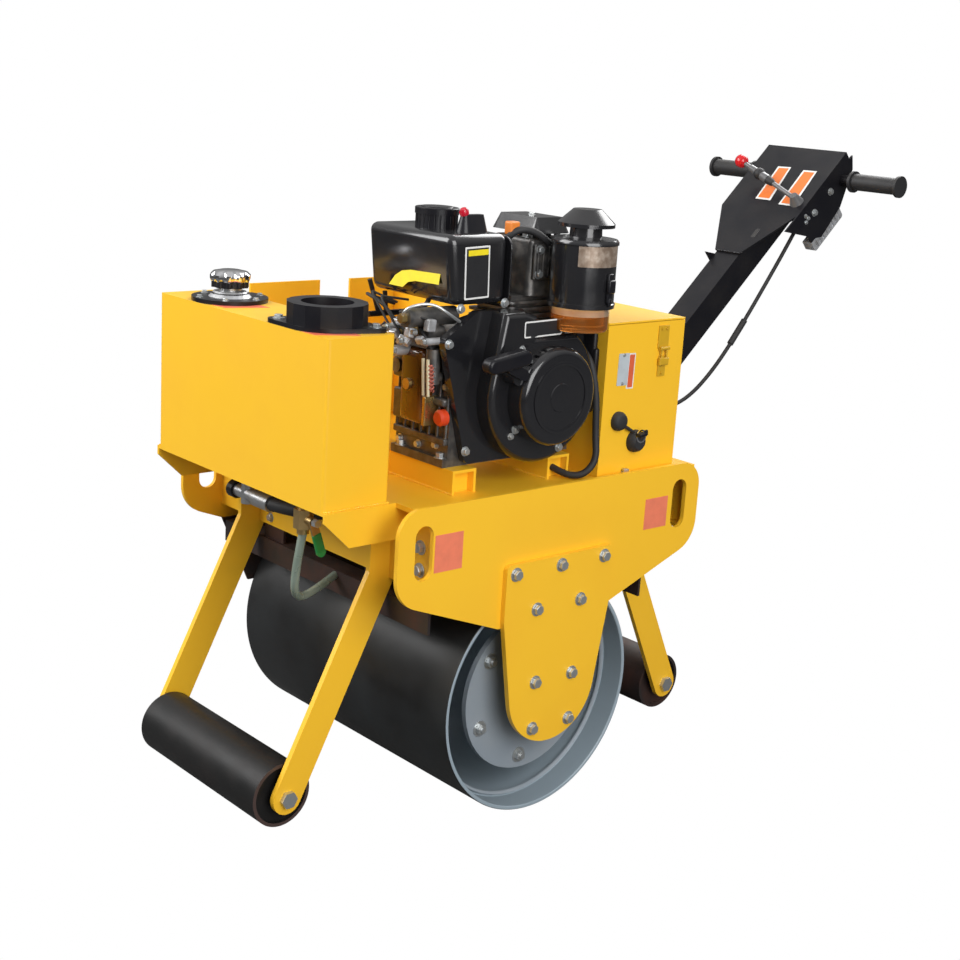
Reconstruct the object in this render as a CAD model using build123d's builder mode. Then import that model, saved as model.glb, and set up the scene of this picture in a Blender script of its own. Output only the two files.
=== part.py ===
from build123d import *
from math import asin, atan2, cos, degrees, pi, radians, sin, tan
import os

# Walk-behind road roller. Millimetres, +Z up, +X to the machine's left, front towards -Y.
# The origin is on the ground under the drum axle. Every piece is drawn with the deck level,
# and is then turned about the drum axle into the parked pose, with the rear roller down.

os.makedirs("parts", exist_ok=True)

# Side plates
frame_half = 320.0
plate_thick = 8.0
plate_reach = 348.0
plate_top = 596.0
plate_low = 364.0
plate_flat_half = 128.0
plate_tip_z = 446.0
plate_top_corner = 46.0
plate_low_corner = 58.0
slot_inset = 52.0
slot_z = 522.0
slot_length = 90.0
slot_width = 36.0
slot_y = plate_reach - slot_inset
frame_inner = frame_half - plate_thick

# Drum
drum_radius = 212.5
drum_gap = 20.0
drum_length = 2 * (frame_half - drum_gap)
drum_wall = 12.0
drum_recess = 48.0
end_plate_thick = 8.0
hub_disc_radius = 145.0
hub_disc_thick = 10.0
hub_disc_gap = 10.0
hub_boss_radius = 62.0
hub_bolt_circle = 122.0
axle_radius = 25.0
axle_clearance = 0.05
axle_reach = 34.0
axle_z = drum_radius

# Bearing housing behind each drum bracket
housing_square = 112.0
housing_flange = 14.0
housing_radius = 52.0
housing_gap = 10.0

# Drum brackets
bracket_thick = 10.0
bracket_half = 124.0
bracket_top = 475.0
bracket_waist = 366.0
bracket_nose_radius = 100.0
bracket_nose_z = 239.0
bracket_corner = 10.0

# Deck, tank tray with its webs, cross plate and rear beam
deck_top = 588.0
deck_thick = 8.0
deck_front = -300.0
deck_rear = plate_reach - plate_thick
sheet = 5.0
beam_half = 250.0
tray_front = -438.0
web_low = 527.0
web_foot = -390.0
web_nose = 572.0
cross_front = -264.0
cross_thick = 8.0
cross_low = 442.0
web_gap = 1.0
rear_beam_low = 470.0
beam_slot_gap = 2.0

# Engine rails
rail_width = 50.0
rail_height = 40.0
rail_pitch = 212.0
rail_middle = -62.5
rail_near = 260.0
rail_far = -120.0

# Front tank
tank_half = 243.6
tank_front = -438.0
tank_rear = -311.0
tank_height = 269.0
tank_wall = 3.0

# Filler collar and breather on the tank
collar_x = 150.0
collar_y = -374.0
collar_radius = 64.0
collar_bore = 41.5
collar_height = 40.0
collar_base = 7.0
collar_facets = 16
ear_turn = 36.0
ear_reach = 96.0
ear_radius = 17.0
breather_x = -130.0
breather_y = -372.0
breather_flange = 64.0
breather_flange_thick = 7.0
breather_neck = 17.0
breather_cap = 32.0
breather_lobe = 6.0
breather_lobes = 10
breather_cone_taper = 30.0
breather_height = 46.0

# Support rollers and their arms
roller_radius = 55.0
roller_half = 178.0
roller_bore_clearance = 0.05
roller_pin = 10.0
roller_wall = 6.0
roller_inset = 8.0
roller_y = 452.0
roller_z = 96.0
arm_x = 190.4
arm_thick = 10.0
arm_width = 54.0
arm_slot_reach = 8.0
arm_front_edge = slot_y + arm_slot_reach
arm_bend_z = 452.0
arm_end_radius = 27.0

# Scraper angles, their hangers and the guard beside the drum
scraper_half = 300.0
scraper_leg = 40.0
scraper_thick = 5.0
front_scraper_y = -263.0
front_scraper_top = 413.0
rear_scraper_y = 236.0
rear_scraper_top = 391.0
hanger_near = 180.0
hanger_width = 60.0
front_hanger_top = 480.0
guard_front = -265.0
guard_rear = -124.0
guard_top = 415.0
guard_low = 283.0

# Rear box and its lid
box_inset = 16.0
box_half = frame_inner - box_inset
box_front = 104.0
box_rear = 296.0
box_top = 857.0
box_sheet = 3.0
lid_clearance = 1.0
knuckle_radius = 5.0
knuckle_pin = 2.5
knuckle_clearance = 0.05
knuckle_gap = 2.0
knuckle_inset = 30.0
knuckle_count = 5

# Engine
crank_y = -26.0
crank_z = 747.0
crankcase_near = 235.0
crankcase_far = 100.0
crankcase_front = -186.0
crankcase_rear = 80.0
crankcase_top = 838.0
foot_height = 14.0
shroud_face = 285.0
shroud_radius = 118.0
recoil_face = 325.0
recoil_radius = 82.0
foot_front = -196.0
foot_rear = 86.0
shroud_flange = 15.0
shroud_edge = 10.0
shroud_shelf = 842.0
recoil_lip = 12.0
recoil_vents = 9
recoil_grip_length = 92.0
recoil_grip_radius = 13.0
shroud_foot = 634.0
shroud_front = -219.0
shroud_front_foot = -160.0
shroud_rear = 92.0
shroud_neck_front = -150.0
shroud_neck_rear = -54.0
shroud_shelf_front = -22.0
volute_neck_y = -98.0
volute_neck_length = 44.0
volute_notch_y = -48.0
vent_start = 30.0
vent_range = 120.0
rope_boss_y = -110.0
rope_boss_z = 785.0
grip_y = -150.0
grip_z = 816.0
grip_turn = 8.0
grip_throat = 18.0
fuel_near = 236.0
fuel_far = 20.0
fuel_front = -190.0
fuel_front_top = -205.0
fuel_rear = -80.0
fuel_low = 890.0
fuel_top = 1004.0
fuel_edge = 22.0
fuel_seam = 3.0
fuel_seam_rim = 6.0
vent_dome_x = 200.0
vent_dome_front = -161.0
vent_dome_rear = -102.0
vent_dome_height = 28.0
vent_dome_taper = 15.0
fuel_cap_x = 128.0
fuel_cap_y = -145.0
fuel_cap_radius = 35.0
fuel_cap_height = 32.0
fuel_cap_ribs = 24
fuel_cap_groove = 1.5
cylinder_near = 222.0
cylinder_far = 112.0
cylinder_front = -58.0
cylinder_rear = 84.0
fin_pitch = 11.0
fin_thick = 4.0
fin_depth = 14.0
rocker_low = 898.0
rocker_top = 992.0
rocker_front = -18.0
rocker_taper = 4.0
muffler_near = 222.0
muffler_far = 107.0
muffler_front = -10.0
muffler_rear = 74.0
muffler_low = 1000.0
muffler_top = 1026.0
muffler_taper = 25.0
cleaner_x = 288.0
cleaner_y = 40.0
cleaner_radius = 54.0
cleaner_low = 893.0
cleaner_top = 1000.0
bowl_radius = 49.0
bowl_low = 850.0
rain_cap_radius = 47.0
rain_cap_low = 1020.0
rain_cap_top = 1048.0
rain_cap_rim = 6.0
bowl_edge = 6.0
intake_radius = 20.0
intake_z = 958.0
pump_near = 215.0
pump_far = 120.0
pump_front = -222.0
pump_low = 822.0
pump_top = 857.0
pump_barrel_radius = 15.0
pump_barrel_front = -260.0
pump_barrel_rear = -160.0
filter_z = 786.0
filter_radius = 12.0
filter_half = 20.0
bulge_near = 200.0
bulge_far = 143.0
bulge_front = -219.0
bulge_low = 695.0
bulge_top = 818.0
bell_radius = 104.0
bell_length = 46.0
bell_taper = 20.0
gear_pump_wide = 84.0
gear_pump_high = 104.0
gear_pump_length = 64.0
gear_pump_ears = 10.0

# Handle
handle_angle = 42.8
tube_side = 60.0
tube_wall = 4.0
pivot_reach = 28.0
pivot_y = plate_reach + pivot_reach
pivot_z = 530.0
pivot_radius = 10.0
pivot_clearance = 0.05
side_clearance = 1.0
lug_thick = 10.0
lug_radius = 36.0
lug_foot_half = 45.0
stop_reach = 64.0
stop_radius = 8.0
stop_clearance = 0.3
handle_length = 846.0
head_half = 102.5
head_top = 853.0
head_fold = 665.0
head_foot = 541.0
head_foot_half = 33.0
head_depth = 76.0
head_rear_depth = 36.0
head_corner = 775.0
head_sheet = 4.0
grip_half = 245.5
bar_place = 812.0
bar_drop = 8.0
grip_radius = 17.0
bar_radius = 12.0
grip_length = 118.0
grip_flange = 22.0
grip_flange_thick = 6.0

# Control lever
lever_along = 698.0
lever_x = 75.0
ball_along = 750.0
ball_above = 82.0
ball_x = -85.0
lever_radius = 5.0
ball_radius = 13.0
boot_start = 0.5
boot_end = 0.82
boot_radius = 10.0
boot_taper = 3.0
bush_taper = 20.0
lever_block_depth = 46.0

# Housing under the near flange of the head
housing_start = 664.0
housing_end = 773.0
housing_depth = 25.0
housing_wide = 24.0
housing_ribs = 9
housing_rib_depth = 3.0

# Fin on the far side of the arm and clip under its near side
fin_start = 516.0
fin_end = 550.0
fin_height = 22.0
fin_sheet = 5.0
clip_start = 148.0
clip_length = 16.0

# Ball valve under the tank, with its lever
valve_x = 148.0
valve_y = -405.0
valve_z = 552.0
valve_ball = 16.0
valve_neck = 10.0
valve_outlet = 527.0
valve_stem = 7.0
valve_lever_x = 172.0
valve_lever_thick = 4.0
valve_lever_width = 15.0
valve_lever_y = -388.0
valve_lever_z = 500.0

# Elbow and ferrule of the hydraulic hose
elbow_x = -43.0
elbow_y = -385.0
elbow_z = 543.0
elbow_radius = 11.0
plug_end = -86.0
plug_radius = 15.0
ferrule_start = -15.0
ferrule_end = 31.0
ferrule_radius = 15.0
grommet_x = 152.0
grommet_z = 548.0
grommet_radius = 19.0
grommet_thick = 6.0

# Hoses and cables
water_hose_radius = 7.0
hydraulic_hose_radius = 12.0
engine_cable_radius = 6.0
cable_inset = 15.0
throttle_cable_radius = 4.0
arc_share = 0.45

# The lean that brings the rear roller down to the ground
roller_reach = ((roller_y) ** 2 + (roller_z - axle_z) ** 2) ** 0.5
park_lean = degrees(
    asin((drum_radius - roller_radius) / roller_reach) - atan2(axle_z - roller_z, roller_y)
)
lean_axis = Axis((0, 0, axle_z), (1, 0, 0))


def park(piece, name):
    """Turn a finished piece about the drum axle into the parked pose, label it and write it."""
    piece.part = Part(piece.part.rotate(lean_axis, -park_lean).wrapped)
    piece.part.label = name
    export_step(piece.part, f"parts/{name}.step")


def side_view(x):
    """A plane seen from the machine's left: its own axes are Y and Z."""
    return Plane.YZ.offset(x)


def front_view(y):
    """A plane seen from the front: its own axes are X and Z."""
    return Plane.XZ.offset(-y)


def mitred(points, width):
    """Half a strip's outline each side of a route of points, for a bent flat bar."""
    left, right = [], []
    for i, point in enumerate(points):
        before = Vector(*point) - Vector(*points[i - 1]) if i else None
        after = Vector(*points[i + 1]) - Vector(*point) if i + 1 < len(points) else None
        first = (before or after).normalized()
        second = (after or before).normalized()
        along = (first + second).normalized()
        reach = width / 2 / along.dot(first)
        across = Vector(-along.Y, along.X) * reach
        left.append(Vector(*point) + across)
        right.append(Vector(*point) - across)
    return left + right[::-1]


# Side plates with lifting slots
with BuildPart() as side_plates:
    with BuildSketch(side_view(frame_inner)):
        with BuildLine():
            Polyline(
                (-plate_flat_half, plate_low), (plate_flat_half, plate_low),
                (plate_reach, plate_tip_z), (plate_reach, plate_top),
                (-plate_reach, plate_top), (-plate_reach, plate_tip_z), close=True,
            )
        make_face()
        fillet(vertices().group_by(Axis.Y)[-1], plate_top_corner)
        fillet(vertices().group_by(Axis.Y)[1], plate_low_corner)
        with Locations((-slot_y, slot_z), (slot_y, slot_z)):
            SlotOverall(slot_length, slot_width, rotation=90, mode=Mode.SUBTRACT)
    extrude(amount=plate_thick)
    mirror(about=Plane.YZ)
park(side_plates, "side_plates")

# Drum brackets, bolted to the outside of the side plates
with BuildPart() as drum_brackets:
    with BuildSketch(side_view(frame_half)):
        with Locations((0, (bracket_top + bracket_waist) / 2)):
            RectangleRounded(2 * bracket_half, bracket_top - bracket_waist, bracket_corner)
        with Locations((0, bracket_nose_z)):
            Circle(bracket_nose_radius)
        make_hull()
    extrude(amount=bracket_thick)
    mirror(about=Plane.YZ)
park(drum_brackets, "drum_brackets")

# Bearing housings with the axle stubs that carry the drum
disc_face = drum_length / 2 - drum_recess + hub_disc_gap + hub_disc_thick
with BuildPart() as axle_housings:
    with BuildSketch(side_view(frame_half)):
        with Locations((0, axle_z)):
            RectangleRounded(housing_square, housing_square, housing_square / 8)
    extrude(amount=-housing_flange)
    with BuildSketch(side_view(frame_half - housing_flange)):
        with Locations((0, axle_z)):
            Circle(housing_radius)
    extrude(amount=-(frame_half - housing_flange - disc_face - housing_gap))
    with BuildSketch(side_view(disc_face + housing_gap)):
        with Locations((0, axle_z)):
            Circle(axle_radius)
    extrude(amount=-(housing_gap + axle_reach))
    mirror(about=Plane.YZ)
park(axle_housings, "axle_housings")

# Drum: rolled shell with an end plate set into each end
with BuildPart() as drum_shell:
    plate_face = drum_length / 2 - drum_recess
    with BuildSketch(side_view(0)):
        with Locations((0, axle_z)):
            Circle(drum_radius)
            Circle(drum_radius - drum_wall, mode=Mode.SUBTRACT)
    extrude(amount=drum_length / 2, both=True)
    with BuildSketch(side_view(plate_face - end_plate_thick), side_view(-plate_face)):
        with Locations((0, axle_z)):
            Circle(drum_radius - drum_wall)
            Circle(axle_radius * 2, mode=Mode.SUBTRACT)
    extrude(amount=end_plate_thick)
park(drum_shell, "drum_shell")

# Hub discs bolted in front of the end plates, each with a boss that runs on the axle stub
with BuildPart() as drum_hubs:
    with BuildSketch(side_view(plate_face)):
        with Locations((0, axle_z)):
            Circle(hub_boss_radius)
            Circle(axle_radius + axle_clearance, mode=Mode.SUBTRACT)
    extrude(amount=hub_disc_gap)
    with BuildSketch(side_view(plate_face + hub_disc_gap)):
        with Locations((0, axle_z)):
            Circle(hub_disc_radius)
            Circle(axle_radius + axle_clearance, mode=Mode.SUBTRACT)
    extrude(amount=hub_disc_thick)
    mirror(about=Plane.YZ)
park(drum_hubs, "drum_hubs")

# Deck plate
with BuildPart() as deck_plate:
    with BuildSketch(Plane.XY.offset(deck_top - deck_thick)):
        with Locations((0, (deck_front + deck_rear) / 2)):
            Rectangle(2 * frame_inner, deck_rear - deck_front)
    extrude(amount=deck_thick)
park(deck_plate, "deck_plate")

# Tray under the tank with two webs, and the cross plate under the deck, cut for the arms
deck_low = deck_top - deck_thick
notch_near, notch_far = arm_x + arm_thick / 2, arm_x - arm_thick / 2
with BuildPart() as front_beam:
    with BuildSketch(Plane.XY.offset(deck_top - sheet)):
        with Locations((0, (tray_front + deck_front) / 2)):
            Rectangle(2 * beam_half, deck_front - tray_front)
    extrude(amount=sheet)
    with BuildSketch(side_view(beam_half - sheet), side_view(-beam_half)):
        with BuildLine():
            Polyline(
                (tray_front, deck_top - sheet), (deck_front, deck_top - sheet), (deck_front, deck_low),
                (cross_front - web_gap, deck_low), (cross_front - web_gap, web_low), (web_foot, web_low),
                (tray_front, web_nose), close=True,
            )
        make_face()
    extrude(amount=sheet)
    with BuildSketch(front_view(cross_front)):
        with Locations((0, cross_low)):
            Rectangle(2 * frame_inner, deck_low - cross_low, align=(Align.CENTER, Align.MIN))
        with Locations((-arm_x, cross_low), (arm_x, cross_low)):
            Rectangle(notch_near - notch_far, deck_low - cross_low,
                      align=(Align.CENTER, Align.MIN), mode=Mode.SUBTRACT)
    extrude(amount=-cross_thick)
park(front_beam, "front_beam")

# Rear beam: a folded channel between the side plates, with the lugs that hold the handle
slope = (cos(radians(handle_angle)), sin(radians(handle_angle)))
pivot = (pivot_y, pivot_z)


def on_arm(along, above):
    """A point in the side view: along the handle arm from its pivot, and above its centre line."""
    return (
        pivot_y + along * slope[0] - above * slope[1],
        pivot_z + along * slope[1] + above * slope[0],
    )


stop_place = on_arm(stop_reach, -(tube_side / 2 + stop_radius + stop_clearance))
lug_gap = tube_side + 2 * side_clearance
rear_beam_depth = deck_rear - slot_y - slot_width / 2 - beam_slot_gap
with BuildPart() as rear_beam:
    with BuildSketch(side_view(-frame_inner)):
        with Locations((deck_rear - rear_beam_depth / 2, (deck_low + rear_beam_low) / 2)):
            Rectangle(rear_beam_depth, deck_low - rear_beam_low)
        with Locations((deck_rear - rear_beam_depth / 2 - sheet / 2,
                        (deck_low + rear_beam_low) / 2)):
            Rectangle(rear_beam_depth - sheet, deck_low - rear_beam_low - 2 * sheet,
                      mode=Mode.SUBTRACT)
    extrude(amount=2 * frame_inner)
    with BuildSketch(side_view(lug_gap / 2), side_view(-lug_gap / 2 - lug_thick)):
        with Locations((deck_rear, pivot_z)):
            Rectangle(sheet, 2 * lug_foot_half, align=(Align.MIN, Align.CENTER))
        with Locations(pivot):
            Circle(lug_radius)
        with Locations(stop_place):
            Circle(2 * stop_radius)
        make_hull()
    extrude(amount=lug_thick)
    with BuildSketch(side_view(-lug_gap / 2 - lug_thick)):
        with Locations(pivot):
            Circle(pivot_radius)
        with Locations(stop_place):
            Circle(stop_radius)
    extrude(amount=lug_gap + 2 * lug_thick)
park(rear_beam, "rear_beam")

# Engine rails: folded channels, open downwards
with BuildPart() as engine_rails:
    with BuildSketch(side_view(rail_far)):
        for y in (rail_middle - rail_pitch / 2, rail_middle + rail_pitch / 2):
            with Locations((y, deck_top)):
                Rectangle(rail_width, rail_height, align=(Align.CENTER, Align.MIN))
                Rectangle(rail_width - 2 * sheet, rail_height - sheet,
                          align=(Align.CENTER, Align.MIN), mode=Mode.SUBTRACT)
    extrude(amount=rail_near - rail_far)
    with BuildSketch(side_view(rail_near - cable_inset)):
        with Locations((rail_middle - rail_pitch / 2, deck_top), (rail_middle + rail_pitch / 2, deck_top)):
            Rectangle(rail_width, rail_height - sheet, align=(Align.CENTER, Align.MIN))
    extrude(amount=-sheet)
park(engine_rails, "engine_rails")

# Front tank, hollow, with the filling hole under the collar
tank_top = deck_top + tank_height
with BuildPart() as front_tank:
    with BuildSketch(Plane.XY.offset(deck_top)):
        with Locations((0, (tank_front + tank_rear) / 2)):
            RectangleRounded(2 * tank_half, tank_rear - tank_front, 2 * tank_wall)
    extrude(amount=tank_height)
    offset(amount=-tank_wall, mode=Mode.SUBTRACT)
    with Locations((collar_x, collar_y, tank_top)):
        Hole(collar_bore, depth=tank_wall)
park(front_tank, "front_tank")

# Filler collar on a two-eared foot
with BuildPart() as filler_collar:
    with BuildSketch(Plane.XY.offset(tank_top)):
        with Locations(Location((collar_x, collar_y, 0), (0, 0, ear_turn))):
            with Locations((-ear_reach + ear_radius, 0), (ear_reach - ear_radius, 0)):
                Circle(ear_radius)
            Circle(collar_radius)
        make_hull()
        with Locations((collar_x, collar_y)):
            Circle(collar_bore, mode=Mode.SUBTRACT)
    extrude(amount=collar_base)
    with BuildSketch(Plane.XY.offset(tank_top + collar_base)):
        with Locations((collar_x, collar_y)):
            RegularPolygon(collar_radius, collar_facets)
            Circle(collar_bore, mode=Mode.SUBTRACT)
    extrude(amount=collar_height - collar_base)
park(filler_collar, "filler_collar")

# Breather with a round flange, a neck and a lobed cap
with BuildPart() as breather:
    with BuildSketch(Plane.XY.offset(tank_top)):
        with Locations((breather_x, breather_y)):
            Circle(breather_flange)
    extrude(amount=breather_flange_thick)
    with BuildSketch(Plane.XY.offset(tank_top + breather_flange_thick)):
        with Locations((breather_x, breather_y)):
            Circle(breather_neck * 2)
    extrude(amount=breather_flange_thick, taper=breather_cone_taper)
    with BuildSketch(Plane.XY.offset(tank_top + breather_flange_thick)):
        with Locations((breather_x, breather_y)):
            Circle(breather_neck)
    extrude(amount=breather_height - breather_flange_thick)
    with BuildSketch(Plane.XY.offset(tank_top + breather_height / 2)):
        with Locations((breather_x, breather_y)):
            Circle(breather_cap - breather_lobe / 2)
            with PolarLocations(breather_cap - breather_lobe, breather_lobes):
                Circle(breather_lobe)
    extrude(amount=breather_height / 2)
park(breather, "breather")

# Arms that carry the support rollers: flat bars with one bend
arm_top_y = arm_front_edge - arm_width / 2
front_route = [(-arm_top_y, deck_low), (-arm_top_y, arm_bend_z), (-roller_y, roller_z)]
rear_route = [(arm_top_y, deck_low), (arm_top_y, arm_bend_z), (roller_y, roller_z)]


def arms(route):
    """A pair of bent flat bars with a round end, one each side of the roller."""
    with BuildPart() as pair:
        with BuildSketch(side_view(arm_x - arm_thick / 2)):
            with BuildLine():
                Polyline(*mitred(route, arm_width), close=True)
            make_face()
            with Locations(route[-1]):
                Circle(arm_end_radius)
                Circle(roller_pin, mode=Mode.SUBTRACT)
        extrude(amount=arm_thick)
        mirror(about=Plane.YZ)
    return pair


for name, route in (("front_arms", front_route), ("rear_arms", rear_route)):
    park(arms(route), name)

# Roller pins with bolt heads outside the arms
pin_head = 15.0
pin_head_thick = 8.0


def pin(y):
    """A through pin for one support roller."""
    with BuildPart() as made:
        reach = arm_x + arm_thick / 2
        with BuildSketch(side_view(-reach)):
            with Locations((y, roller_z)):
                Circle(roller_pin)
        extrude(amount=2 * reach)
        with BuildSketch(side_view(reach), side_view(-reach - pin_head_thick)):
            with Locations((y, roller_z)):
                RegularPolygon(pin_head, 6)
        extrude(amount=pin_head_thick)
    return made


for name, y in (("front_roller_pin", -roller_y), ("rear_roller_pin", roller_y)):
    park(pin(y), name)


def support_roller(y):
    """A steel tube roller with inset end discs and a bore on its pin."""
    with BuildPart() as made:
        with BuildSketch(side_view(0)):
            with Locations((y, roller_z)):
                Circle(roller_radius)
                Circle(roller_radius - roller_wall, mode=Mode.SUBTRACT)
        extrude(amount=roller_half, both=True)
        with BuildSketch(side_view(0)):
            with Locations((y, roller_z)):
                Circle(2 * roller_pin)
                Circle(roller_pin + roller_bore_clearance, mode=Mode.SUBTRACT)
        extrude(amount=roller_half, both=True)
        disc = roller_half - roller_inset
        with BuildSketch(side_view(disc - roller_wall), side_view(-disc)):
            with Locations((y, roller_z)):
                Circle(roller_radius - roller_wall)
                Circle(1.5 * roller_pin, mode=Mode.SUBTRACT)
        extrude(amount=roller_wall)
    return made


for name, y in (("front_roller", -roller_y), ("rear_roller", roller_y)):
    park(support_roller(y), name)


# Scraper angles across the machine, in front of and behind the drum, on hangers, and the drum guard
with BuildPart() as scraper_bars:
    with BuildSketch(side_view(-scraper_half)):
        for edge, top, way in ((front_scraper_y, front_scraper_top, Align.MIN),
                               (rear_scraper_y, rear_scraper_top, Align.MAX)):
            with Locations((edge, top)):
                Rectangle(scraper_leg, scraper_thick, align=(way, Align.MAX))
                Rectangle(scraper_thick, scraper_leg, align=(way, Align.MAX))
    extrude(amount=2 * scraper_half)
    with BuildSketch(front_view(cross_front + cross_thick)):
        with Locations((-hanger_near, front_scraper_top), (hanger_near - hanger_width, front_scraper_top)):
            Rectangle(hanger_width, front_hanger_top - front_scraper_top, align=(Align.MIN, Align.MIN))
    extrude(amount=-scraper_thick)
    with BuildSketch(front_view(rear_scraper_y - 2 * scraper_thick)):
        with Locations((-hanger_near, rear_scraper_top), (hanger_near - hanger_width, rear_scraper_top)):
            Rectangle(hanger_width, deck_low - rear_scraper_top, align=(Align.MIN, Align.MIN))
    extrude(amount=-scraper_thick)
    with BuildSketch(side_view(-frame_inner)):
        with BuildLine():
            Polyline(
                (guard_front, guard_top), (guard_rear, guard_top), (guard_rear, guard_low + scraper_leg),
                (guard_rear - scraper_leg, guard_low), (guard_front + 1.5 * scraper_leg, guard_low),
                close=True,
            )
        make_face()
    extrude(amount=scraper_thick)
park(scraper_bars, "scraper_bars")

# Guard panels on the far side of the deck
panel_x = box_half - lid_clearance - box_sheet
panel_foot = 24.0
front_panel = (-228.0, -74.0)
rear_panel = (-4.0, box_front - lid_clearance)
with BuildPart() as guard_panels:
    for first, last in (front_panel, rear_panel):
        with BuildSketch(front_view(first)):
            with Locations((-panel_x, deck_top)):
                Rectangle(sheet, tank_height, align=(Align.MIN, Align.MIN))
                Rectangle(panel_foot, sheet, align=(Align.MIN, Align.MIN))
        extrude(amount=-(last - first))
park(guard_panels, "guard_panels")

# Rear box, hollow, open at the top under its lid, with its share of the hinge on the far side
box_open = box_top - box_sheet - lid_clearance
hinge_x = -(box_half + knuckle_gap + knuckle_radius)
hinge_z = box_top - knuckle_radius
hinge_step = (box_rear - box_front - 2 * knuckle_inset) / knuckle_count


def knuckles(first):
    """Every second knuckle's front face along the hinge."""
    return [box_front + knuckle_inset + i * hinge_step for i in range(first, knuckle_count, 2)]


with BuildPart() as rear_box:
    with BuildSketch(Plane.XY.offset(deck_top)):
        with Locations((0, (box_front + box_rear) / 2)):
            Rectangle(2 * box_half, box_rear - box_front)
    extrude(amount=box_open - deck_top)
    offset(amount=-box_sheet, openings=faces().sort_by(Axis.Z)[-1])
    for y in knuckles(1):
        with BuildSketch(front_view(y + knuckle_gap / 2)):
            with Locations((hinge_x, hinge_z)):
                Circle(knuckle_radius)
            with Locations((hinge_x, hinge_z - knuckle_radius)):
                Rectangle(knuckle_gap + knuckle_radius, knuckle_radius, align=(Align.MIN, Align.MIN))
        extrude(amount=-(hinge_step - knuckle_gap))
    with BuildSketch(front_view(box_front + knuckle_inset)):
        with Locations((hinge_x, hinge_z)):
            Circle(knuckle_pin)
    extrude(amount=-knuckle_count * hinge_step)
park(rear_box, "rear_box")

# Lid: a flat sheet hinged along the far edge of the box
with BuildPart() as box_lid:
    with BuildSketch(Plane.XY.offset(box_top - box_sheet)):
        with Locations((0, (box_front + box_rear) / 2)):
            Rectangle(2 * box_half, box_rear - box_front)
        for y in knuckles(0):
            with Locations((hinge_x, y + hinge_step / 2)):
                Rectangle(box_half, hinge_step - knuckle_gap, align=(Align.MIN, Align.CENTER))
    extrude(amount=box_sheet)
    for y in knuckles(0):
        with BuildSketch(front_view(y + knuckle_gap / 2)):
            with Locations((hinge_x, hinge_z)):
                Circle(knuckle_radius)
        extrude(amount=-(hinge_step - knuckle_gap))
    with BuildSketch(front_view(box_front + knuckle_inset)):
        with Locations((hinge_x, hinge_z)):
            Circle(knuckle_pin + knuckle_clearance)
    extrude(amount=-knuckle_count * hinge_step, mode=Mode.SUBTRACT)
park(box_lid, "box_lid")

# Crankcase with its feet, and the bell housing and gear pump on its far side
rail_top = deck_top + rail_height
case_middle = (crankcase_front + crankcase_rear) / 2
with BuildPart() as crankcase:
    with BuildSketch(side_view(crankcase_far)):
        with Locations((case_middle, rail_top)):
            Rectangle(crankcase_rear - crankcase_front, crankcase_top - rail_top,
                      align=(Align.CENTER, Align.MIN))
        with Locations(((foot_front + foot_rear) / 2, rail_top)):
            Rectangle(foot_rear - foot_front, foot_height, align=(Align.CENTER, Align.MIN))
        fillet(vertices().group_by(Axis.Y)[-1], 2 * foot_height)
    extrude(amount=crankcase_near - crankcase_far)
    with BuildSketch(side_view(crankcase_far)):
        with Locations((crank_y, crank_z)):
            Circle(bell_radius)
    extrude(amount=-bell_length, taper=bell_taper)
    with BuildSketch(side_view(crankcase_far - bell_length)):
        with Locations((crank_y, crank_z)):
            Rectangle(gear_pump_wide, gear_pump_high)
            fillet(vertices(), gear_pump_ears)
    extrude(amount=-gear_pump_length)
    for end in (crankcase_far - bell_length, crankcase_far - bell_length - gear_pump_length):
        with BuildSketch(side_view(end)):
            with Locations((crank_y, crank_z)):
                SlotOverall(gear_pump_high + 2 * gear_pump_ears, gear_pump_wide / 2)
        extrude(amount=-gear_pump_ears if end > 0 else gear_pump_ears)
park(crankcase, "crankcase")

# Rounded cover on the front of the crankcase, injection pump block and barrel, and the fuel filter
pump_middle = (pump_near + pump_far) / 2
barrel_x = pump_near - pump_barrel_radius
barrel_z = pump_top + pump_barrel_radius
with BuildPart() as injection_pump:
    with BuildSketch(front_view(crankcase_front)):
        with Locations(((bulge_near + bulge_far) / 2, (bulge_low + bulge_top) / 2)):
            RectangleRounded(bulge_near - bulge_far, bulge_top - bulge_low, 2 * shroud_edge)
    extrude(amount=crankcase_front - bulge_front)
    fillet(faces().sort_by(Axis.Y)[0].edges(), shroud_edge)
    with BuildSketch(front_view(crankcase_front)):
        with Locations((pump_middle, (pump_low + pump_top) / 2)):
            RectangleRounded(pump_near - pump_far, pump_top - pump_low, shroud_edge)
    extrude(amount=crankcase_front - pump_front)
    with BuildSketch(front_view(pump_barrel_rear)):
        with Locations((barrel_x, barrel_z)):
            Circle(pump_barrel_radius)
    extrude(amount=pump_barrel_rear - pump_barrel_front)
    with BuildSketch(Plane.XY.offset(pump_low)):
        with Locations((barrel_x, (crankcase_front + pump_front) / 2)):
            Circle(filter_radius)
    extrude(amount=barrel_z - pump_low)
    with BuildSketch(Plane.XY.offset(filter_z - filter_half)):
        with Locations((pump_near, pump_front + filter_radius)):
            Circle(filter_radius)
    extrude(amount=pump_low - filter_z + filter_half)
park(injection_pump, "injection_pump")

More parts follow.
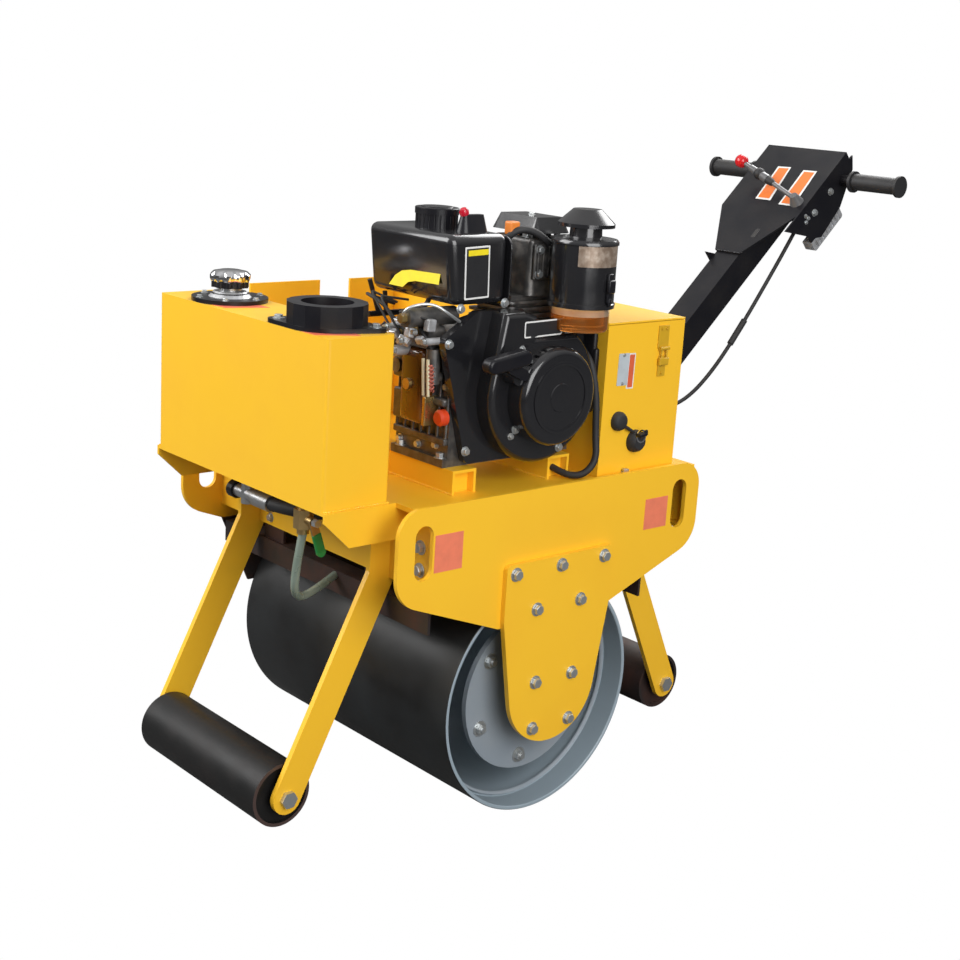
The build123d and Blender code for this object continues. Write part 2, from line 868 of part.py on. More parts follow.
# Fan shroud: a flange on the crankcase and a volute that opens upwards round the flywheel
shroud_neck_top = fuel_low - fuel_seam_rim
with BuildPart() as fan_shroud:
    with BuildSketch(side_view(crankcase_near)):
        with BuildLine():
            Polyline(
                (shroud_front_foot, shroud_foot), (shroud_front, shroud_shelf),
                (shroud_neck_front, shroud_neck_top), (shroud_neck_rear, shroud_neck_top),
                (shroud_shelf_front, shroud_shelf), (shroud_rear, shroud_shelf),
                (shroud_rear, crank_z), (crank_y, shroud_foot), close=True,
            )
        make_face()
        fillet(vertices(), shroud_edge)
    extrude(amount=shroud_flange)
    with BuildSketch(side_view(crankcase_near + shroud_flange)):
        with Locations((crank_y, crank_z)):
            Circle(shroud_radius)
        with Locations((volute_neck_y, shroud_neck_top)):
            Rectangle(volute_neck_length, volute_neck_length, align=(Align.CENTER, Align.MAX))
        make_hull()
        with Locations((volute_notch_y, shroud_shelf)):
            Rectangle(2 * shroud_radius, shroud_radius, align=(Align.MIN, Align.MIN), mode=Mode.SUBTRACT)
    extrude(amount=shroud_face - crankcase_near - shroud_flange)
    fillet(faces().sort_by(Axis.X)[-1].edges(), shroud_edge)
park(fan_shroud, "fan_shroud")

# Recoil starter: a stepped round cover with a ring of vents and a boss where the rope comes out
with BuildPart() as recoil_starter:
    with BuildSketch(side_view(shroud_face)):
        with Locations((crank_y, crank_z)):
            Circle(recoil_radius)
    extrude(amount=recoil_face - shroud_face)
    fillet(faces().sort_by(Axis.X)[-1].edges(), recoil_lip)
    with BuildSketch(side_view(recoil_face - recoil_lip)):
        with Locations((crank_y, crank_z)):
            with PolarLocations(recoil_radius, recoil_vents, start_angle=vent_start,
                                angular_range=vent_range):
                Rectangle(recoil_lip, recoil_lip / 2)
    extrude(amount=-recoil_lip, mode=Mode.SUBTRACT)
    with BuildSketch(side_view(shroud_face)):
        with Locations((rope_boss_y, rope_boss_z)):
            Circle(recoil_grip_radius)
    extrude(amount=recoil_face - recoil_lip - shroud_face)
park(recoil_starter, "recoil_starter")

# Pull grip of the recoil starter
with BuildPart() as recoil_handle:
    with BuildSketch(side_view(recoil_face - recoil_lip)):
        with Locations((grip_y, grip_z)):
            SlotOverall(recoil_grip_length, 2 * recoil_grip_radius, rotation=grip_turn)
    extrude(amount=2 * recoil_lip)
    fillet(edges().group_by(Axis.X)[-1] + edges().group_by(Axis.X)[0], recoil_lip / 2)
    with BuildSketch(side_view(recoil_face - recoil_lip)):
        with Locations((grip_y + recoil_lip, grip_z - recoil_lip)):
            Circle(grip_throat / 2)
        with Locations((rope_boss_y, rope_boss_z + recoil_lip / 2)):
            Circle(grip_throat / 2)
        make_hull()
    extrude(amount=recoil_lip)
park(recoil_handle, "recoil_handle")

# Cylinder with cooling fins, and the head above it
with BuildPart() as cylinder:
    with BuildSketch(Plane.XY.offset(crankcase_top)):
        with Locations(((cylinder_near + cylinder_far) / 2, (cylinder_front + cylinder_rear) / 2)):
            Rectangle(cylinder_near - cylinder_far - 2 * fin_depth,
                      cylinder_rear - cylinder_front - 2 * fin_depth)
    extrude(amount=rocker_low - crankcase_top)
    fin_count = int((rocker_low - crankcase_top) // fin_pitch)
    for i in range(fin_count):
        with BuildSketch(Plane.XY.offset(crankcase_top + fin_thick + i * fin_pitch)):
            with Locations(((cylinder_near + cylinder_far) / 2, (cylinder_front + cylinder_rear) / 2)):
                RectangleRounded(cylinder_near - cylinder_far, cylinder_rear - cylinder_front, fin_depth)
        extrude(amount=fin_thick)
park(cylinder, "cylinder")

# Rocker cover on the head
with BuildPart() as rocker_cover:
    with BuildSketch(Plane.XY.offset(rocker_low)):
        with Locations(((cylinder_near + cylinder_far) / 2, (rocker_front + cylinder_rear) / 2)):
            RectangleRounded(cylinder_near - cylinder_far, cylinder_rear - rocker_front, fin_depth)
    extrude(amount=rocker_top - rocker_low, taper=rocker_taper)
    fillet(faces().sort_by(Axis.Z)[-1].edges(), fin_depth / 2)
park(rocker_cover, "rocker_cover")

# Exhaust cover above the head
with BuildPart() as muffler:
    with BuildSketch(Plane.XY.offset(muffler_low)):
        with Locations(((muffler_near + muffler_far) / 2, (muffler_front + muffler_rear) / 2)):
            RectangleRounded(muffler_near - muffler_far, muffler_rear - muffler_front, fin_depth)
    extrude(amount=muffler_top - muffler_low, taper=muffler_taper)
    with BuildSketch(Plane.XY.offset(muffler_low)):
        with Locations(((muffler_near + muffler_far) / 2, (muffler_front + muffler_rear) / 2)):
            Rectangle((muffler_near - muffler_far) / 2, (muffler_rear - muffler_front) / 2)
    extrude(amount=-(muffler_low - rocker_top))
park(muffler, "muffler")

# Fuel tank with rounded edges, and its ribbed cap
with BuildPart() as fuel_tank:
    with BuildSketch(side_view(fuel_far)):
        with BuildLine():
            Polyline(
                (fuel_front, fuel_low + fuel_edge / 2), (fuel_front_top, fuel_top), (fuel_rear, fuel_top),
                (fuel_rear, fuel_low + fuel_edge / 4), ((fuel_front + fuel_rear) / 2, fuel_low), close=True,
            )
        make_face()
        fillet(vertices().sort_by(Axis.Y)[-2:] + vertices().sort_by(Axis.X)[:1], fuel_edge / 2)
    extrude(amount=fuel_near - fuel_far)
    fillet(faces().sort_by(Axis.X)[-1].edges() + faces().sort_by(Axis.X)[0].edges(), fuel_edge / 3)
    with BuildSketch(front_view(fuel_rear)):
        with Locations(((fuel_near + fuel_far) / 2, (fuel_low + fuel_top) / 2 - fuel_seam_rim / 2)):
            RectangleRounded(fuel_near - fuel_far + 2 * fuel_seam_rim, fuel_top - fuel_low, fuel_edge)
    extrude(amount=-fuel_seam)
park(fuel_tank, "fuel_tank")

# Fuel cap, and the vent dome beside it
with BuildPart() as fuel_cap:
    with BuildSketch(Plane.XY.offset(fuel_top)):
        with Locations((fuel_cap_x, fuel_cap_y)):
            Circle(fuel_cap_radius)
            with PolarLocations(fuel_cap_radius, fuel_cap_ribs):
                Circle(fuel_cap_groove, mode=Mode.SUBTRACT)
    extrude(amount=fuel_cap_height)
    with BuildSketch(Plane.XY.offset(fuel_top)):
        with Locations((vent_dome_x, (vent_dome_front + vent_dome_rear) / 2)):
            SlotOverall(vent_dome_rear - vent_dome_front, vent_dome_height, rotation=90)
    extrude(amount=vent_dome_height, taper=vent_dome_taper)
park(fuel_cap, "fuel_cap")

# Air cleaner: body, neck and rain cap turned in one profile, with its intake pipe to the head
with BuildPart() as air_cleaner:
    with BuildSketch(front_view(cleaner_y)):
        with BuildLine():
            Polyline(
                (cleaner_x, cleaner_low), (cleaner_x + cleaner_radius, cleaner_low),
                (cleaner_x + cleaner_radius, cleaner_top), (cleaner_x + intake_radius, cleaner_top),
                (cleaner_x + intake_radius, rain_cap_low), (cleaner_x + rain_cap_radius, rain_cap_low),
                (cleaner_x + rain_cap_radius, rain_cap_low + rain_cap_rim),
                (cleaner_x + rain_cap_radius / 2, rain_cap_top),
                (cleaner_x, rain_cap_top), close=True,
            )
        make_face()
    revolve(axis=Axis((cleaner_x, cleaner_y, 0), (0, 0, 1)))
    with BuildSketch(side_view(cylinder_near)):
        with Locations((cleaner_y, intake_z)):
            Circle(intake_radius)
    extrude(amount=cleaner_x - cylinder_near)
park(air_cleaner, "air_cleaner")

# Clear oil bowl under the air cleaner
with BuildPart() as oil_bowl:
    with BuildSketch(Plane.XY.offset(bowl_low)):
        with Locations((cleaner_x, cleaner_y)):
            Circle(bowl_radius)
    extrude(amount=cleaner_low - bowl_low)
    fillet(faces().sort_by(Axis.Z)[0].edges(), bowl_edge)
park(oil_bowl, "oil_bowl")

# Handle arm: square tube with a round lower end on the pivot, a fin and a cable clip
arm_plane = Plane(origin=(0, pivot_y, pivot_z), x_dir=(0, slope[0], slope[1]), z_dir=(1, 0, 0))


def arm_view(x):
    """A plane across the handle: its own axes run along the arm and above it."""
    return arm_plane.offset(x)


with BuildPart() as handle_arm:
    with BuildSketch(arm_view(-tube_side / 2)):
        Circle(tube_side / 2)
        Rectangle(handle_length, tube_side, align=(Align.MIN, Align.CENTER))
    extrude(amount=tube_side)
    with BuildSketch(arm_view(-tube_side / 2 + tube_wall)):
        with Locations((tube_side, 0)):
            Rectangle(handle_length, tube_side - 2 * tube_wall, align=(Align.MIN, Align.CENTER))
    extrude(amount=tube_side - 2 * tube_wall, mode=Mode.SUBTRACT)
    with BuildSketch(arm_view(-tube_side / 2)):
        Circle(pivot_radius + pivot_clearance)
        with Locations((bar_place, -bar_drop)):
            Circle(bar_radius + pivot_clearance)
    extrude(amount=tube_side, mode=Mode.SUBTRACT)
    with BuildSketch(arm_view(-tube_side / 2 - fin_sheet)):
        with BuildLine():
            Polyline(
                (fin_start, tube_side / 2 - fin_height), (fin_end, tube_side / 2 - fin_height),
                (fin_start, tube_side / 2 + fin_height), close=True,
            )
        make_face()
    extrude(amount=fin_sheet)
    with BuildSketch(arm_view(tube_side / 2 - clip_length / 2)):
        with Locations((clip_start, -tube_side / 2)):
            Rectangle(clip_length, clip_length, align=(Align.MIN, Align.MAX))
    extrude(amount=2 * clip_length)
park(handle_arm, "handle_arm")

# Handle head: folded sheet over the end of the tube, tapered down to the tube's width
with BuildPart() as handle_head:
    top_plane = Plane(arm_plane.origin, x_dir=arm_plane.x_dir, z_dir=arm_plane.y_dir).offset(tube_side / 2)
    with BuildSketch(top_plane):
        with BuildLine():
            Polyline(
                (head_foot, -head_foot_half), (head_fold, -head_half), (head_top, -head_half),
                (head_top, head_half), (head_fold, head_half), (head_foot, head_foot_half), close=True,
            )
        make_face()
    extrude(amount=head_sheet)
    with BuildSketch(arm_view(head_half - head_sheet), arm_view(-head_half)):
        with BuildLine():
            Polyline(
                (head_fold, tube_side / 2), (head_fold, tube_side / 2 - head_depth),
                (head_corner, tube_side / 2 - head_depth), (head_top, tube_side / 2 - head_rear_depth),
                (head_top, tube_side / 2), close=True,
            )
        make_face()
        with Locations((bar_place, -bar_drop)):
            Circle(bar_radius + pivot_clearance, mode=Mode.SUBTRACT)
    extrude(amount=head_sheet)
    with BuildSketch(arm_view(lever_x - 3 * head_sheet)):
        with Locations((lever_along - 2 * head_sheet, tube_side / 2)):
            Rectangle(6 * head_sheet, lever_block_depth, align=(Align.MIN, Align.MAX))
    extrude(amount=6 * head_sheet)
park(handle_head, "handle_head")

# Handle bar through the head, with a rubber grip on each end
with BuildPart() as handle_bar:
    with BuildSketch(arm_view(-grip_half + head_sheet)):
        with Locations((bar_place, -bar_drop)):
            Circle(bar_radius)
    extrude(amount=2 * (grip_half - head_sheet))
park(handle_bar, "handle_bar")

with BuildPart() as handle_grips:
    with BuildSketch(arm_view(grip_half - grip_length)):
        with Locations((bar_place, -bar_drop)):
            Circle(grip_radius)
    extrude(amount=grip_length)
    with BuildSketch(arm_view(grip_half - grip_length), arm_view(grip_half - grip_flange_thick)):
        with Locations((bar_place, -bar_drop)):
            Circle(grip_flange)
    extrude(amount=grip_flange_thick)
    with BuildSketch(arm_view(0)):
        with Locations((bar_place, -bar_drop)):
            Circle(bar_radius)
    extrude(amount=grip_half - head_sheet, mode=Mode.SUBTRACT)
    mirror(about=Plane.YZ)
park(handle_grips, "handle_grips")

# Control lever on the head: a bush, a rod that leans to the far side, a boot and a ball
lever_foot = (lever_along, tube_side / 2 + head_sheet + 2 * lever_radius)
with BuildPart() as control_lever:
    with BuildSketch(top_plane.offset(head_sheet)):
        with Locations((lever_along, -lever_x)):
            Circle(3 * lever_radius)
    extrude(amount=4 * lever_radius, taper=bush_taper)
    rod_start = arm_plane.from_local_coords((*lever_foot, lever_x))
    rod_end = arm_plane.from_local_coords((ball_along, ball_above, ball_x))
    rod_plane = Plane(rod_start, z_dir=rod_end - rod_start)
    rod_length = (rod_end - rod_start).length
    with BuildSketch(rod_plane.offset(lever_radius)):
        Circle(lever_radius)
    extrude(amount=rod_length - lever_radius)
    with BuildSketch(rod_plane.offset(boot_start * rod_length)):
        Circle(boot_radius)
    extrude(amount=(boot_end - boot_start) * rod_length, taper=boot_taper)
    with Locations(rod_plane.offset(rod_length).location):
        Sphere(ball_radius)
park(control_lever, "control_lever")

# Ribbed housing under the near flange of the head
flange_low = tube_side / 2 - head_depth
rib_pitch = (housing_end - housing_start) / housing_ribs
with BuildPart() as head_housing:
    with BuildSketch(arm_view(head_half - housing_wide)):
        with Locations(((housing_start + housing_end) / 2, flange_low)):
            Rectangle(housing_end - housing_start, housing_depth, align=(Align.CENTER, Align.MAX))
            fillet(vertices().group_by(Axis.Y)[0], 2 * housing_rib_depth)
    extrude(amount=housing_wide)
    with BuildSketch(arm_view(head_half - housing_rib_depth)):
        with Locations(((housing_start + housing_end) / 2, flange_low)):
            with GridLocations(rib_pitch, 0, housing_ribs - 1, 1):
                Rectangle(rib_pitch / 2, 2 * (housing_depth - housing_rib_depth))
    extrude(amount=housing_rib_depth, mode=Mode.SUBTRACT)
park(head_housing, "head_housing")

# Fittings under the tank: the ball valve with its lever, the elbow with its plug and ferrule, the grommet
tray_low = deck_top - sheet
with BuildPart() as pipe_fittings:
    with BuildSketch(Plane.XY.offset(valve_outlet)):
        with Locations((valve_x, valve_y)):
            Circle(valve_neck)
        with Locations((elbow_x, elbow_y)):
            Circle(elbow_radius)
    extrude(amount=tray_low - valve_outlet)
    with BuildSketch(Plane.XY.offset(valve_z - valve_ball)):
        with Locations((valve_x, valve_y)):
            RegularPolygon(valve_ball, 6)
    extrude(amount=2 * valve_ball)
    with BuildSketch(side_view(valve_x)):
        with Locations((valve_y, valve_z)):
            Circle(valve_stem)
    extrude(amount=valve_lever_x + valve_lever_thick - valve_x)
    with BuildSketch(side_view(valve_lever_x)):
        with Locations((valve_y, valve_z), (valve_lever_y, valve_lever_z)):
            Circle(valve_lever_width / 2)
        make_hull()
    extrude(amount=valve_lever_thick)
    with BuildSketch(side_view(plug_end)):
        with Locations((elbow_y, elbow_z)):
            RegularPolygon(plug_radius, 6)
    extrude(amount=elbow_radius)
    with BuildSketch(side_view(plug_end)):
        with Locations((elbow_y, elbow_z)):
            Circle(elbow_radius)
    extrude(amount=ferrule_end - plug_end)
    with BuildSketch(side_view(ferrule_start)):
        with Locations((elbow_y, elbow_z)):
            Circle(ferrule_radius)
    extrude(amount=ferrule_end - ferrule_start)
    with BuildSketch(front_view(cross_front)):
        with Locations((grommet_x, grommet_z)):
            Circle(grommet_radius)
    extrude(amount=grommet_thick)
park(pipe_fittings, "pipe_fittings")


def hose(points, radius, name):
    """A round hose along straight runs joined by the largest tangent arcs that they leave room for."""
    radii = []
    for before, corner, after in zip(points, points[1:], points[2:]):
        first, second = Vector(*corner) - Vector(*before), Vector(*after) - Vector(*corner)
        half_turn = radians(first.get_angle(second) / 2)
        radii.append(arc_share * min(first.length, second.length) / tan(half_turn))
    with BuildPart() as made:
        with BuildLine() as route:
            FilletPolyline(*points, radius=radii)
        path = route.wires()[0]
        with BuildSketch(Plane(path @ 0, z_dir=path % 0)):
            Circle(radius)
        sweep(path=path)
    share = made.part.volume / (pi * radius ** 2 * path.length)
    print(name, "length", round(path.length), "radii", [round(r) for r in radii], "share", round(share, 4))
    park(made, name)


# Water hose from the valve to the front scraper angle
hose([
    (valve_x, valve_y, valve_outlet), (valve_x - 5, valve_y, 470), (valve_x - 30, -385, 408),
    (75, -318, 396), (47, front_scraper_y, 404),
], water_hose_radius, "water_hose")

# Hydraulic hose from the ferrule behind the valve to the grommet
hose([
    (ferrule_end, elbow_y, elbow_z), (90, -379, elbow_z + 2), (141, -331, elbow_z + 4),
    (grommet_x, cross_front - grommet_thick, grommet_z),
], hydraulic_hose_radius, "hydraulic_hose")

# Throttle cable under the handle arm, from the lever's block to the clip
hose([
    tuple(arm_plane.from_local_coords(place)) for place in (
        (lever_along - 2 * head_sheet, -8, 74), (628, -31, 66), (555, -48, 62), (475, -62, 60),
        (395, -72, 60), (320, -76.5, 58), (250, -74, 54), (198, -60, 46),
        (clip_start + clip_length, -38, 36),
    )
], throttle_cable_radius, "throttle_cable")

# Engine cable from inside the rear rail, round in a loop and up to the shroud
hose([
    (rail_near - cable_inset, 43, 604), (267, 47, 598), (287, 58, 595), (300, 73, 602), (306, 89, 626),
    (306, 97, 666), (304, 97, 724), (294, 94, 770), (275, 88, 800),
    (crankcase_near + shroud_flange, 84, 812),
], engine_cable_radius, "engine_cable")
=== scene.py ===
import math

import bmesh
import bpy
from bpy.props import FloatProperty, FloatVectorProperty, PointerProperty
from mathutils import Matrix, Vector


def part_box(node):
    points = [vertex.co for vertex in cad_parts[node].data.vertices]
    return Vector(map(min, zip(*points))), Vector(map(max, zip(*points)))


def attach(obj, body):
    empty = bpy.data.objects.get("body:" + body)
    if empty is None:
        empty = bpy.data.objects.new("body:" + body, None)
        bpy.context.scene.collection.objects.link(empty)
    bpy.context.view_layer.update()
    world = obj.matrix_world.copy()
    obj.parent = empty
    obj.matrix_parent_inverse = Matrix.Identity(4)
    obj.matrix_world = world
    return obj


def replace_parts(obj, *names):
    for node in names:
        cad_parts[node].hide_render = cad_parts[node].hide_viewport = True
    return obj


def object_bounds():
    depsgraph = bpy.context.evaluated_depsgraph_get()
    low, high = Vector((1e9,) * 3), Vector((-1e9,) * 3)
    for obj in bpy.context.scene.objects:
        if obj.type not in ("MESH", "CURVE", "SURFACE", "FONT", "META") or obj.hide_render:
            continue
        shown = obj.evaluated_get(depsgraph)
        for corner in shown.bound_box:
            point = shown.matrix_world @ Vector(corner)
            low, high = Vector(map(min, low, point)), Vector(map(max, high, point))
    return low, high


bl_info = {
    "name": "Road roller finish",
    "version": (1, 0, 0),
    "blender": (4, 5, 0),
    "location": "View3D > Sidebar > Road roller",
    "description": "Paint, fittings and studio for a walk-behind road roller",
    "category": "Object",
}

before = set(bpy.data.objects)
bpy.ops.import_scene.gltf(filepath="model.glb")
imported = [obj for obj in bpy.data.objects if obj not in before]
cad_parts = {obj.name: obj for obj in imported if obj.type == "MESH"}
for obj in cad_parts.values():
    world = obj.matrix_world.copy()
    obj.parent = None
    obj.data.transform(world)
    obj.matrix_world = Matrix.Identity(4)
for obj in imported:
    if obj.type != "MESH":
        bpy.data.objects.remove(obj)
cad_low, cad_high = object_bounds()
mm = 0.001
merge_distance = 0.02 * mm

# The machine leans back about the drum axle until its rear roller stands on the ground.
drum_low, drum_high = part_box("drum_shell")
axle = Vector((0, (drum_low.y + drum_high.y) / 2, (drum_low.z + drum_high.z) / 2))
front_low, front_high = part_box("front_roller")
rear_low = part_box("rear_roller")[0]
tilt = math.atan2(front_low.z - rear_low.z, rear_low.y - front_low.y)
parked = Matrix.Translation(axle) @ Matrix.Rotation(-tilt, 4, "X") @ Matrix.Translation(-axle)

# Shares of a radius and of a length beyond which a surface counts as the outer one.
near_wall = 0.996
near_end = 0.999

# What the fittings go by, in millimetres: the drum's radius, which is also its axle's height, and faces
# of the level machine, from its middle, its drum axle or the ground.
drum_radius = 212.5
hub_face = 272
plate_face = 320
bracket_face = 330
cross_plate = -264
deck_top = 588
tank_top = 857
flange_face = 250
shroud_face = 285
case_front = -187
tank_side = 236
head_face = 228
box_face = 296


def spot(x, y, z):
    """A point given in millimetres on the level machine, in metres on the parked one."""
    return parked @ Vector((x * mm, y * mm, z * mm))


def seat(place, normal, along=(0, 1, 0)):
    """A matrix with its Z along the normal and its X along a direction, at a place on the machine."""
    up = Vector(normal).normalized()
    across = Vector(along) - up * up.dot(Vector(along))
    across.normalize()
    turn = Matrix((across, up.cross(across), up)).transposed().to_4x4()
    return parked @ Matrix.Translation(Vector(place) * mm) @ turn


level_axes = seat((0, 0, 0), (0, 0, 1), (1, 0, 0))

# The handle's own directions: along it from its pivot, and above its centre line.
handle_pivot = Vector((0, 376, 530))
handle_turn = math.radians(42.8)
handle_along = Vector((0, math.cos(handle_turn), math.sin(handle_turn)))
handle_up = Vector((0, -math.sin(handle_turn), math.cos(handle_turn)))


def on_handle(along, above, x):
    """A point of the level machine in millimetres, from its place on the handle."""
    return handle_pivot + along * handle_along + above * handle_up + Vector((x, 0, 0))


# Node groups


def new_group(name, inputs, outputs):
    """A shader group with its sockets, and its two end nodes."""
    tree = bpy.data.node_groups.new(name, "ShaderNodeTree")
    kinds = {"color": "NodeSocketColor", "value": "NodeSocketFloat"}
    for title, kind, default in inputs:
        socket = tree.interface.new_socket(title, in_out="INPUT", socket_type=kinds[kind])
        socket.default_value = default
    for title, kind in outputs:
        tree.interface.new_socket(title, in_out="OUTPUT", socket_type=kinds[kind])
    return tree, tree.nodes.new("NodeGroupInput"), tree.nodes.new("NodeGroupOutput")


def feed(tree, socket, value):
    """Link a socket's value, or set it where it is a plain number or colour."""
    if isinstance(value, bpy.types.NodeSocket):
        tree.links.new(value, socket)
    else:
        socket.default_value = value


def object_place(tree):
    """The place on the object, which every pattern follows."""
    return tree.nodes.new("ShaderNodeTexCoord").outputs["Object"]


def split(tree, vector):
    """The three parts of a vector."""
    made = tree.nodes.new("ShaderNodeSeparateXYZ")
    tree.links.new(vector, made.inputs["Vector"])
    return made.outputs


def noise(tree, scale, detail):
    """Noise on Object coordinates, whose scale is a number or a socket."""
    made = tree.nodes.new("ShaderNodeTexNoise")
    made.inputs["Detail"].default_value = detail
    tree.links.new(object_place(tree), made.inputs["Vector"])
    feed(tree, made.inputs["Scale"], scale)
    return made.outputs["Fac"]


def map_range(tree, value, low, high, to_low=0.0, to_high=1.0):
    """A value carried from one range to another, whose bounds are numbers or sockets."""
    made = tree.nodes.new("ShaderNodeMapRange")
    tree.links.new(value, made.inputs["Value"])
    for title, bound in (("From Min", low), ("From Max", high), ("To Min", to_low), ("To Max", to_high)):
        feed(tree, made.inputs[title], bound)
    return made.outputs["Result"]


def mix(tree, mask, first, second):
    """Two colours mixed by a mask, each with its alpha or as a socket."""
    made = tree.nodes.new("ShaderNodeMix")
    made.data_type = "RGBA"
    tree.links.new(mask, made.inputs["Factor"])
    for socket, colour in zip([s for s in made.inputs if s.type == "RGBA"], (first, second)):
        feed(tree, socket, colour)
    return [s for s in made.outputs if s.type == "RGBA"][0]


def math_node(tree, operation, first, second=0.0):
    """One step of arithmetic on numbers or sockets."""
    made = tree.nodes.new("ShaderNodeMath")
    made.operation = operation
    for socket, value in zip(made.inputs, (first, second)):
        feed(tree, socket, value)
    return made.outputs["Value"]


def mix_value(tree, share, first, second):
    """One number or the other by a share."""
    rest = math_node(tree, "SUBTRACT", 1.0, share)
    return math_node(tree, "ADD", math_node(tree, "MULTIPLY", first, rest),
                     math_node(tree, "MULTIPLY", second, share))


def weathering():
    """Stains, uneven gloss and fine texture for any painted or metal surface."""
    if "Weathering" in bpy.data.node_groups:
        return bpy.data.node_groups["Weathering"]
    tree, start, end = new_group(
        "Weathering",
        [("Color", "color", (1, 1, 1, 1)), ("Stain", "color", (0, 0, 0, 1)), ("Scale", "value", 8.0),
         ("Amount", "value", 0.2), ("Smooth", "value", 0.3), ("Rough", "value", 0.5)],
        [("Color", "color"), ("Roughness", "value"), ("Height", "value")],
    )
    patches = noise(tree, start.outputs["Scale"], 8)
    mask = map_range(tree, patches, 0.42, 0.75, 0, start.outputs["Amount"])
    tree.links.new(mix(tree, mask, start.outputs["Color"], start.outputs["Stain"]), end.inputs["Color"])
    gloss = map_range(tree, patches, 0.35, 0.65, start.outputs["Smooth"], start.outputs["Rough"])
    tree.links.new(gloss, end.inputs["Roughness"])
    tree.links.new(noise(tree, 420, 3), end.inputs["Height"])
    return tree


def dusting():
    """Dust that lies on what faces upwards."""
    if "Dusting" in bpy.data.node_groups:
        return bpy.data.node_groups["Dusting"]
    tree, start, end = new_group(
        "Dusting",
        [("Color", "color", (1, 1, 1, 1)), ("Dust", "color", (0.45, 0.4, 0.33, 1)), ("Amount", "value", 0.2)],
        [("Color", "color"), ("Mask", "value")],
    )
    normal = split(tree, tree.nodes.new("ShaderNodeNewGeometry").outputs["Normal"])
    upward = map_range(tree, normal["Z"], 0.3, 1.0)
    patches = map_range(tree, noise(tree, 22, 6), 0.35, 0.75)
    mask = math_node(tree, "MULTIPLY", math_node(tree, "MULTIPLY", upward, patches), start.outputs["Amount"])
    tree.links.new(mix(tree, mask, start.outputs["Color"], start.outputs["Dust"]), end.inputs["Color"])
    tree.links.new(mask, end.inputs["Mask"])
    return tree


# Materials


def surface(name, colour, smooth, rough, stain=(0.03, 0.025, 0.02), scale=9.0, amount=0.15, dust=0.1,
            bump=0.04, metallic=0.0, coat=0.0, specular=0.5, clear=0.0, second=None):
    """A weathered paint, metal, rubber or plastic. second gives another colour and the mask for it."""
    if name in bpy.data.materials:
        return bpy.data.materials[name]
    made = bpy.data.materials.new(name)
    made.use_nodes = True
    tree = made.node_tree
    shader = tree.nodes["Principled BSDF"]
    for title, value in (("Metallic", metallic), ("Coat Weight", coat), ("Coat Roughness", 0.12),
                         ("Specular IOR Level", specular), ("Transmission Weight", clear)):
        shader.inputs[title].default_value = value
    wear = tree.nodes.new("ShaderNodeGroup")
    wear.node_tree = weathering()
    for title, value in (("Color", (*colour, 1)), ("Stain", (*stain, 1)), ("Scale", scale),
                         ("Amount", amount), ("Smooth", smooth), ("Rough", rough)):
        wear.inputs[title].default_value = value
    if second:
        other, mask = second
        tree.links.new(mix(tree, mask(tree), (*colour, 1), (*other, 1)), wear.inputs["Color"])
    layer = tree.nodes.new("ShaderNodeGroup")
    layer.node_tree = dusting()
    layer.inputs["Amount"].default_value = dust
    relief = tree.nodes.new("ShaderNodeBump")
    relief.inputs["Strength"].default_value = bump
    relief.inputs["Distance"].default_value = 0.001
    for source, out, target, socket in (
        (wear, "Color", layer, "Color"), (layer, "Color", shader, "Base Color"),
        (wear, "Roughness", shader, "Roughness"), (wear, "Height", relief, "Height"),
        (relief, "Normal", shader, "Normal"),
    ):
        tree.links.new(source.outputs[out], target.inputs[socket])
    return made


def within(tree, value, low, high):
    """A mask that is 1 where a value lies between two bounds."""
    above = math_node(tree, "GREATER_THAN", value, low)
    return math_node(tree, "MULTIPLY", above, math_node(tree, "LESS_THAN", value, high))


def level(axis, low, high):
    """A mask that is 1 between two bounds in millimetres along one axis of the level machine."""
    direction = parked.to_3x3() @ Vector([axis == letter for letter in "XYZ"])
    start = (parked @ Vector((0, 0, 0))).dot(direction)

    def mask(tree):
        product = tree.nodes.new("ShaderNodeVectorMath")
        product.operation = "DOT_PRODUCT"
        tree.links.new(object_place(tree), product.inputs[0])
        product.inputs[1].default_value = direction
        return within(tree, product.outputs["Value"], start + low * mm, start + high * mm)

    return mask


def rolling_face(tree):
    """A mask that is 1 on the drum's rolling surface and 0 on its ends and inside."""
    place = split(tree, object_place(tree))
    squares = []
    for axis, middle in (("Y", axle.y), ("Z", axle.z)):
        away = math_node(tree, "SUBTRACT", place[axis], middle)
        squares.append(math_node(tree, "MULTIPLY", away, away))
    reach = math_node(tree, "SQRT", math_node(tree, "ADD", *squares))
    wall = math_node(tree, "GREATER_THAN", reach, (drum_high.z - drum_low.z) / 2 * near_wall)
    end = math_node(tree, "LESS_THAN", math_node(tree, "ABSOLUTE", place["X"]), drum_high.x * near_end)
    return math_node(tree, "MULTIPLY", wall, end)


def body_paint():
    """The yellow paint of the frame, tank and box."""
    return surface("Yellow paint", bpy.context.scene.roller_paint.body, 0.32, 0.45, stain=(0.82, 0.38, 0.01),
                   scale=5, amount=0.25, dust=0.015, bump=0.03, coat=0.12)


def black_paint():
    """The glossy black of the engine's sheet and mouldings."""
    return surface("Black gloss paint", bpy.context.scene.roller_paint.engine, 0.14, 0.26, scale=14,
                   amount=0.1, dust=0.03, bump=0.02, coat=0.6)


def satin_black():
    """The satin black of the handle."""
    return surface("Satin black paint", bpy.context.scene.roller_paint.handle, 0.3, 0.42, scale=16,
                   amount=0.2, dust=0.02, coat=0.08, specular=0.3)


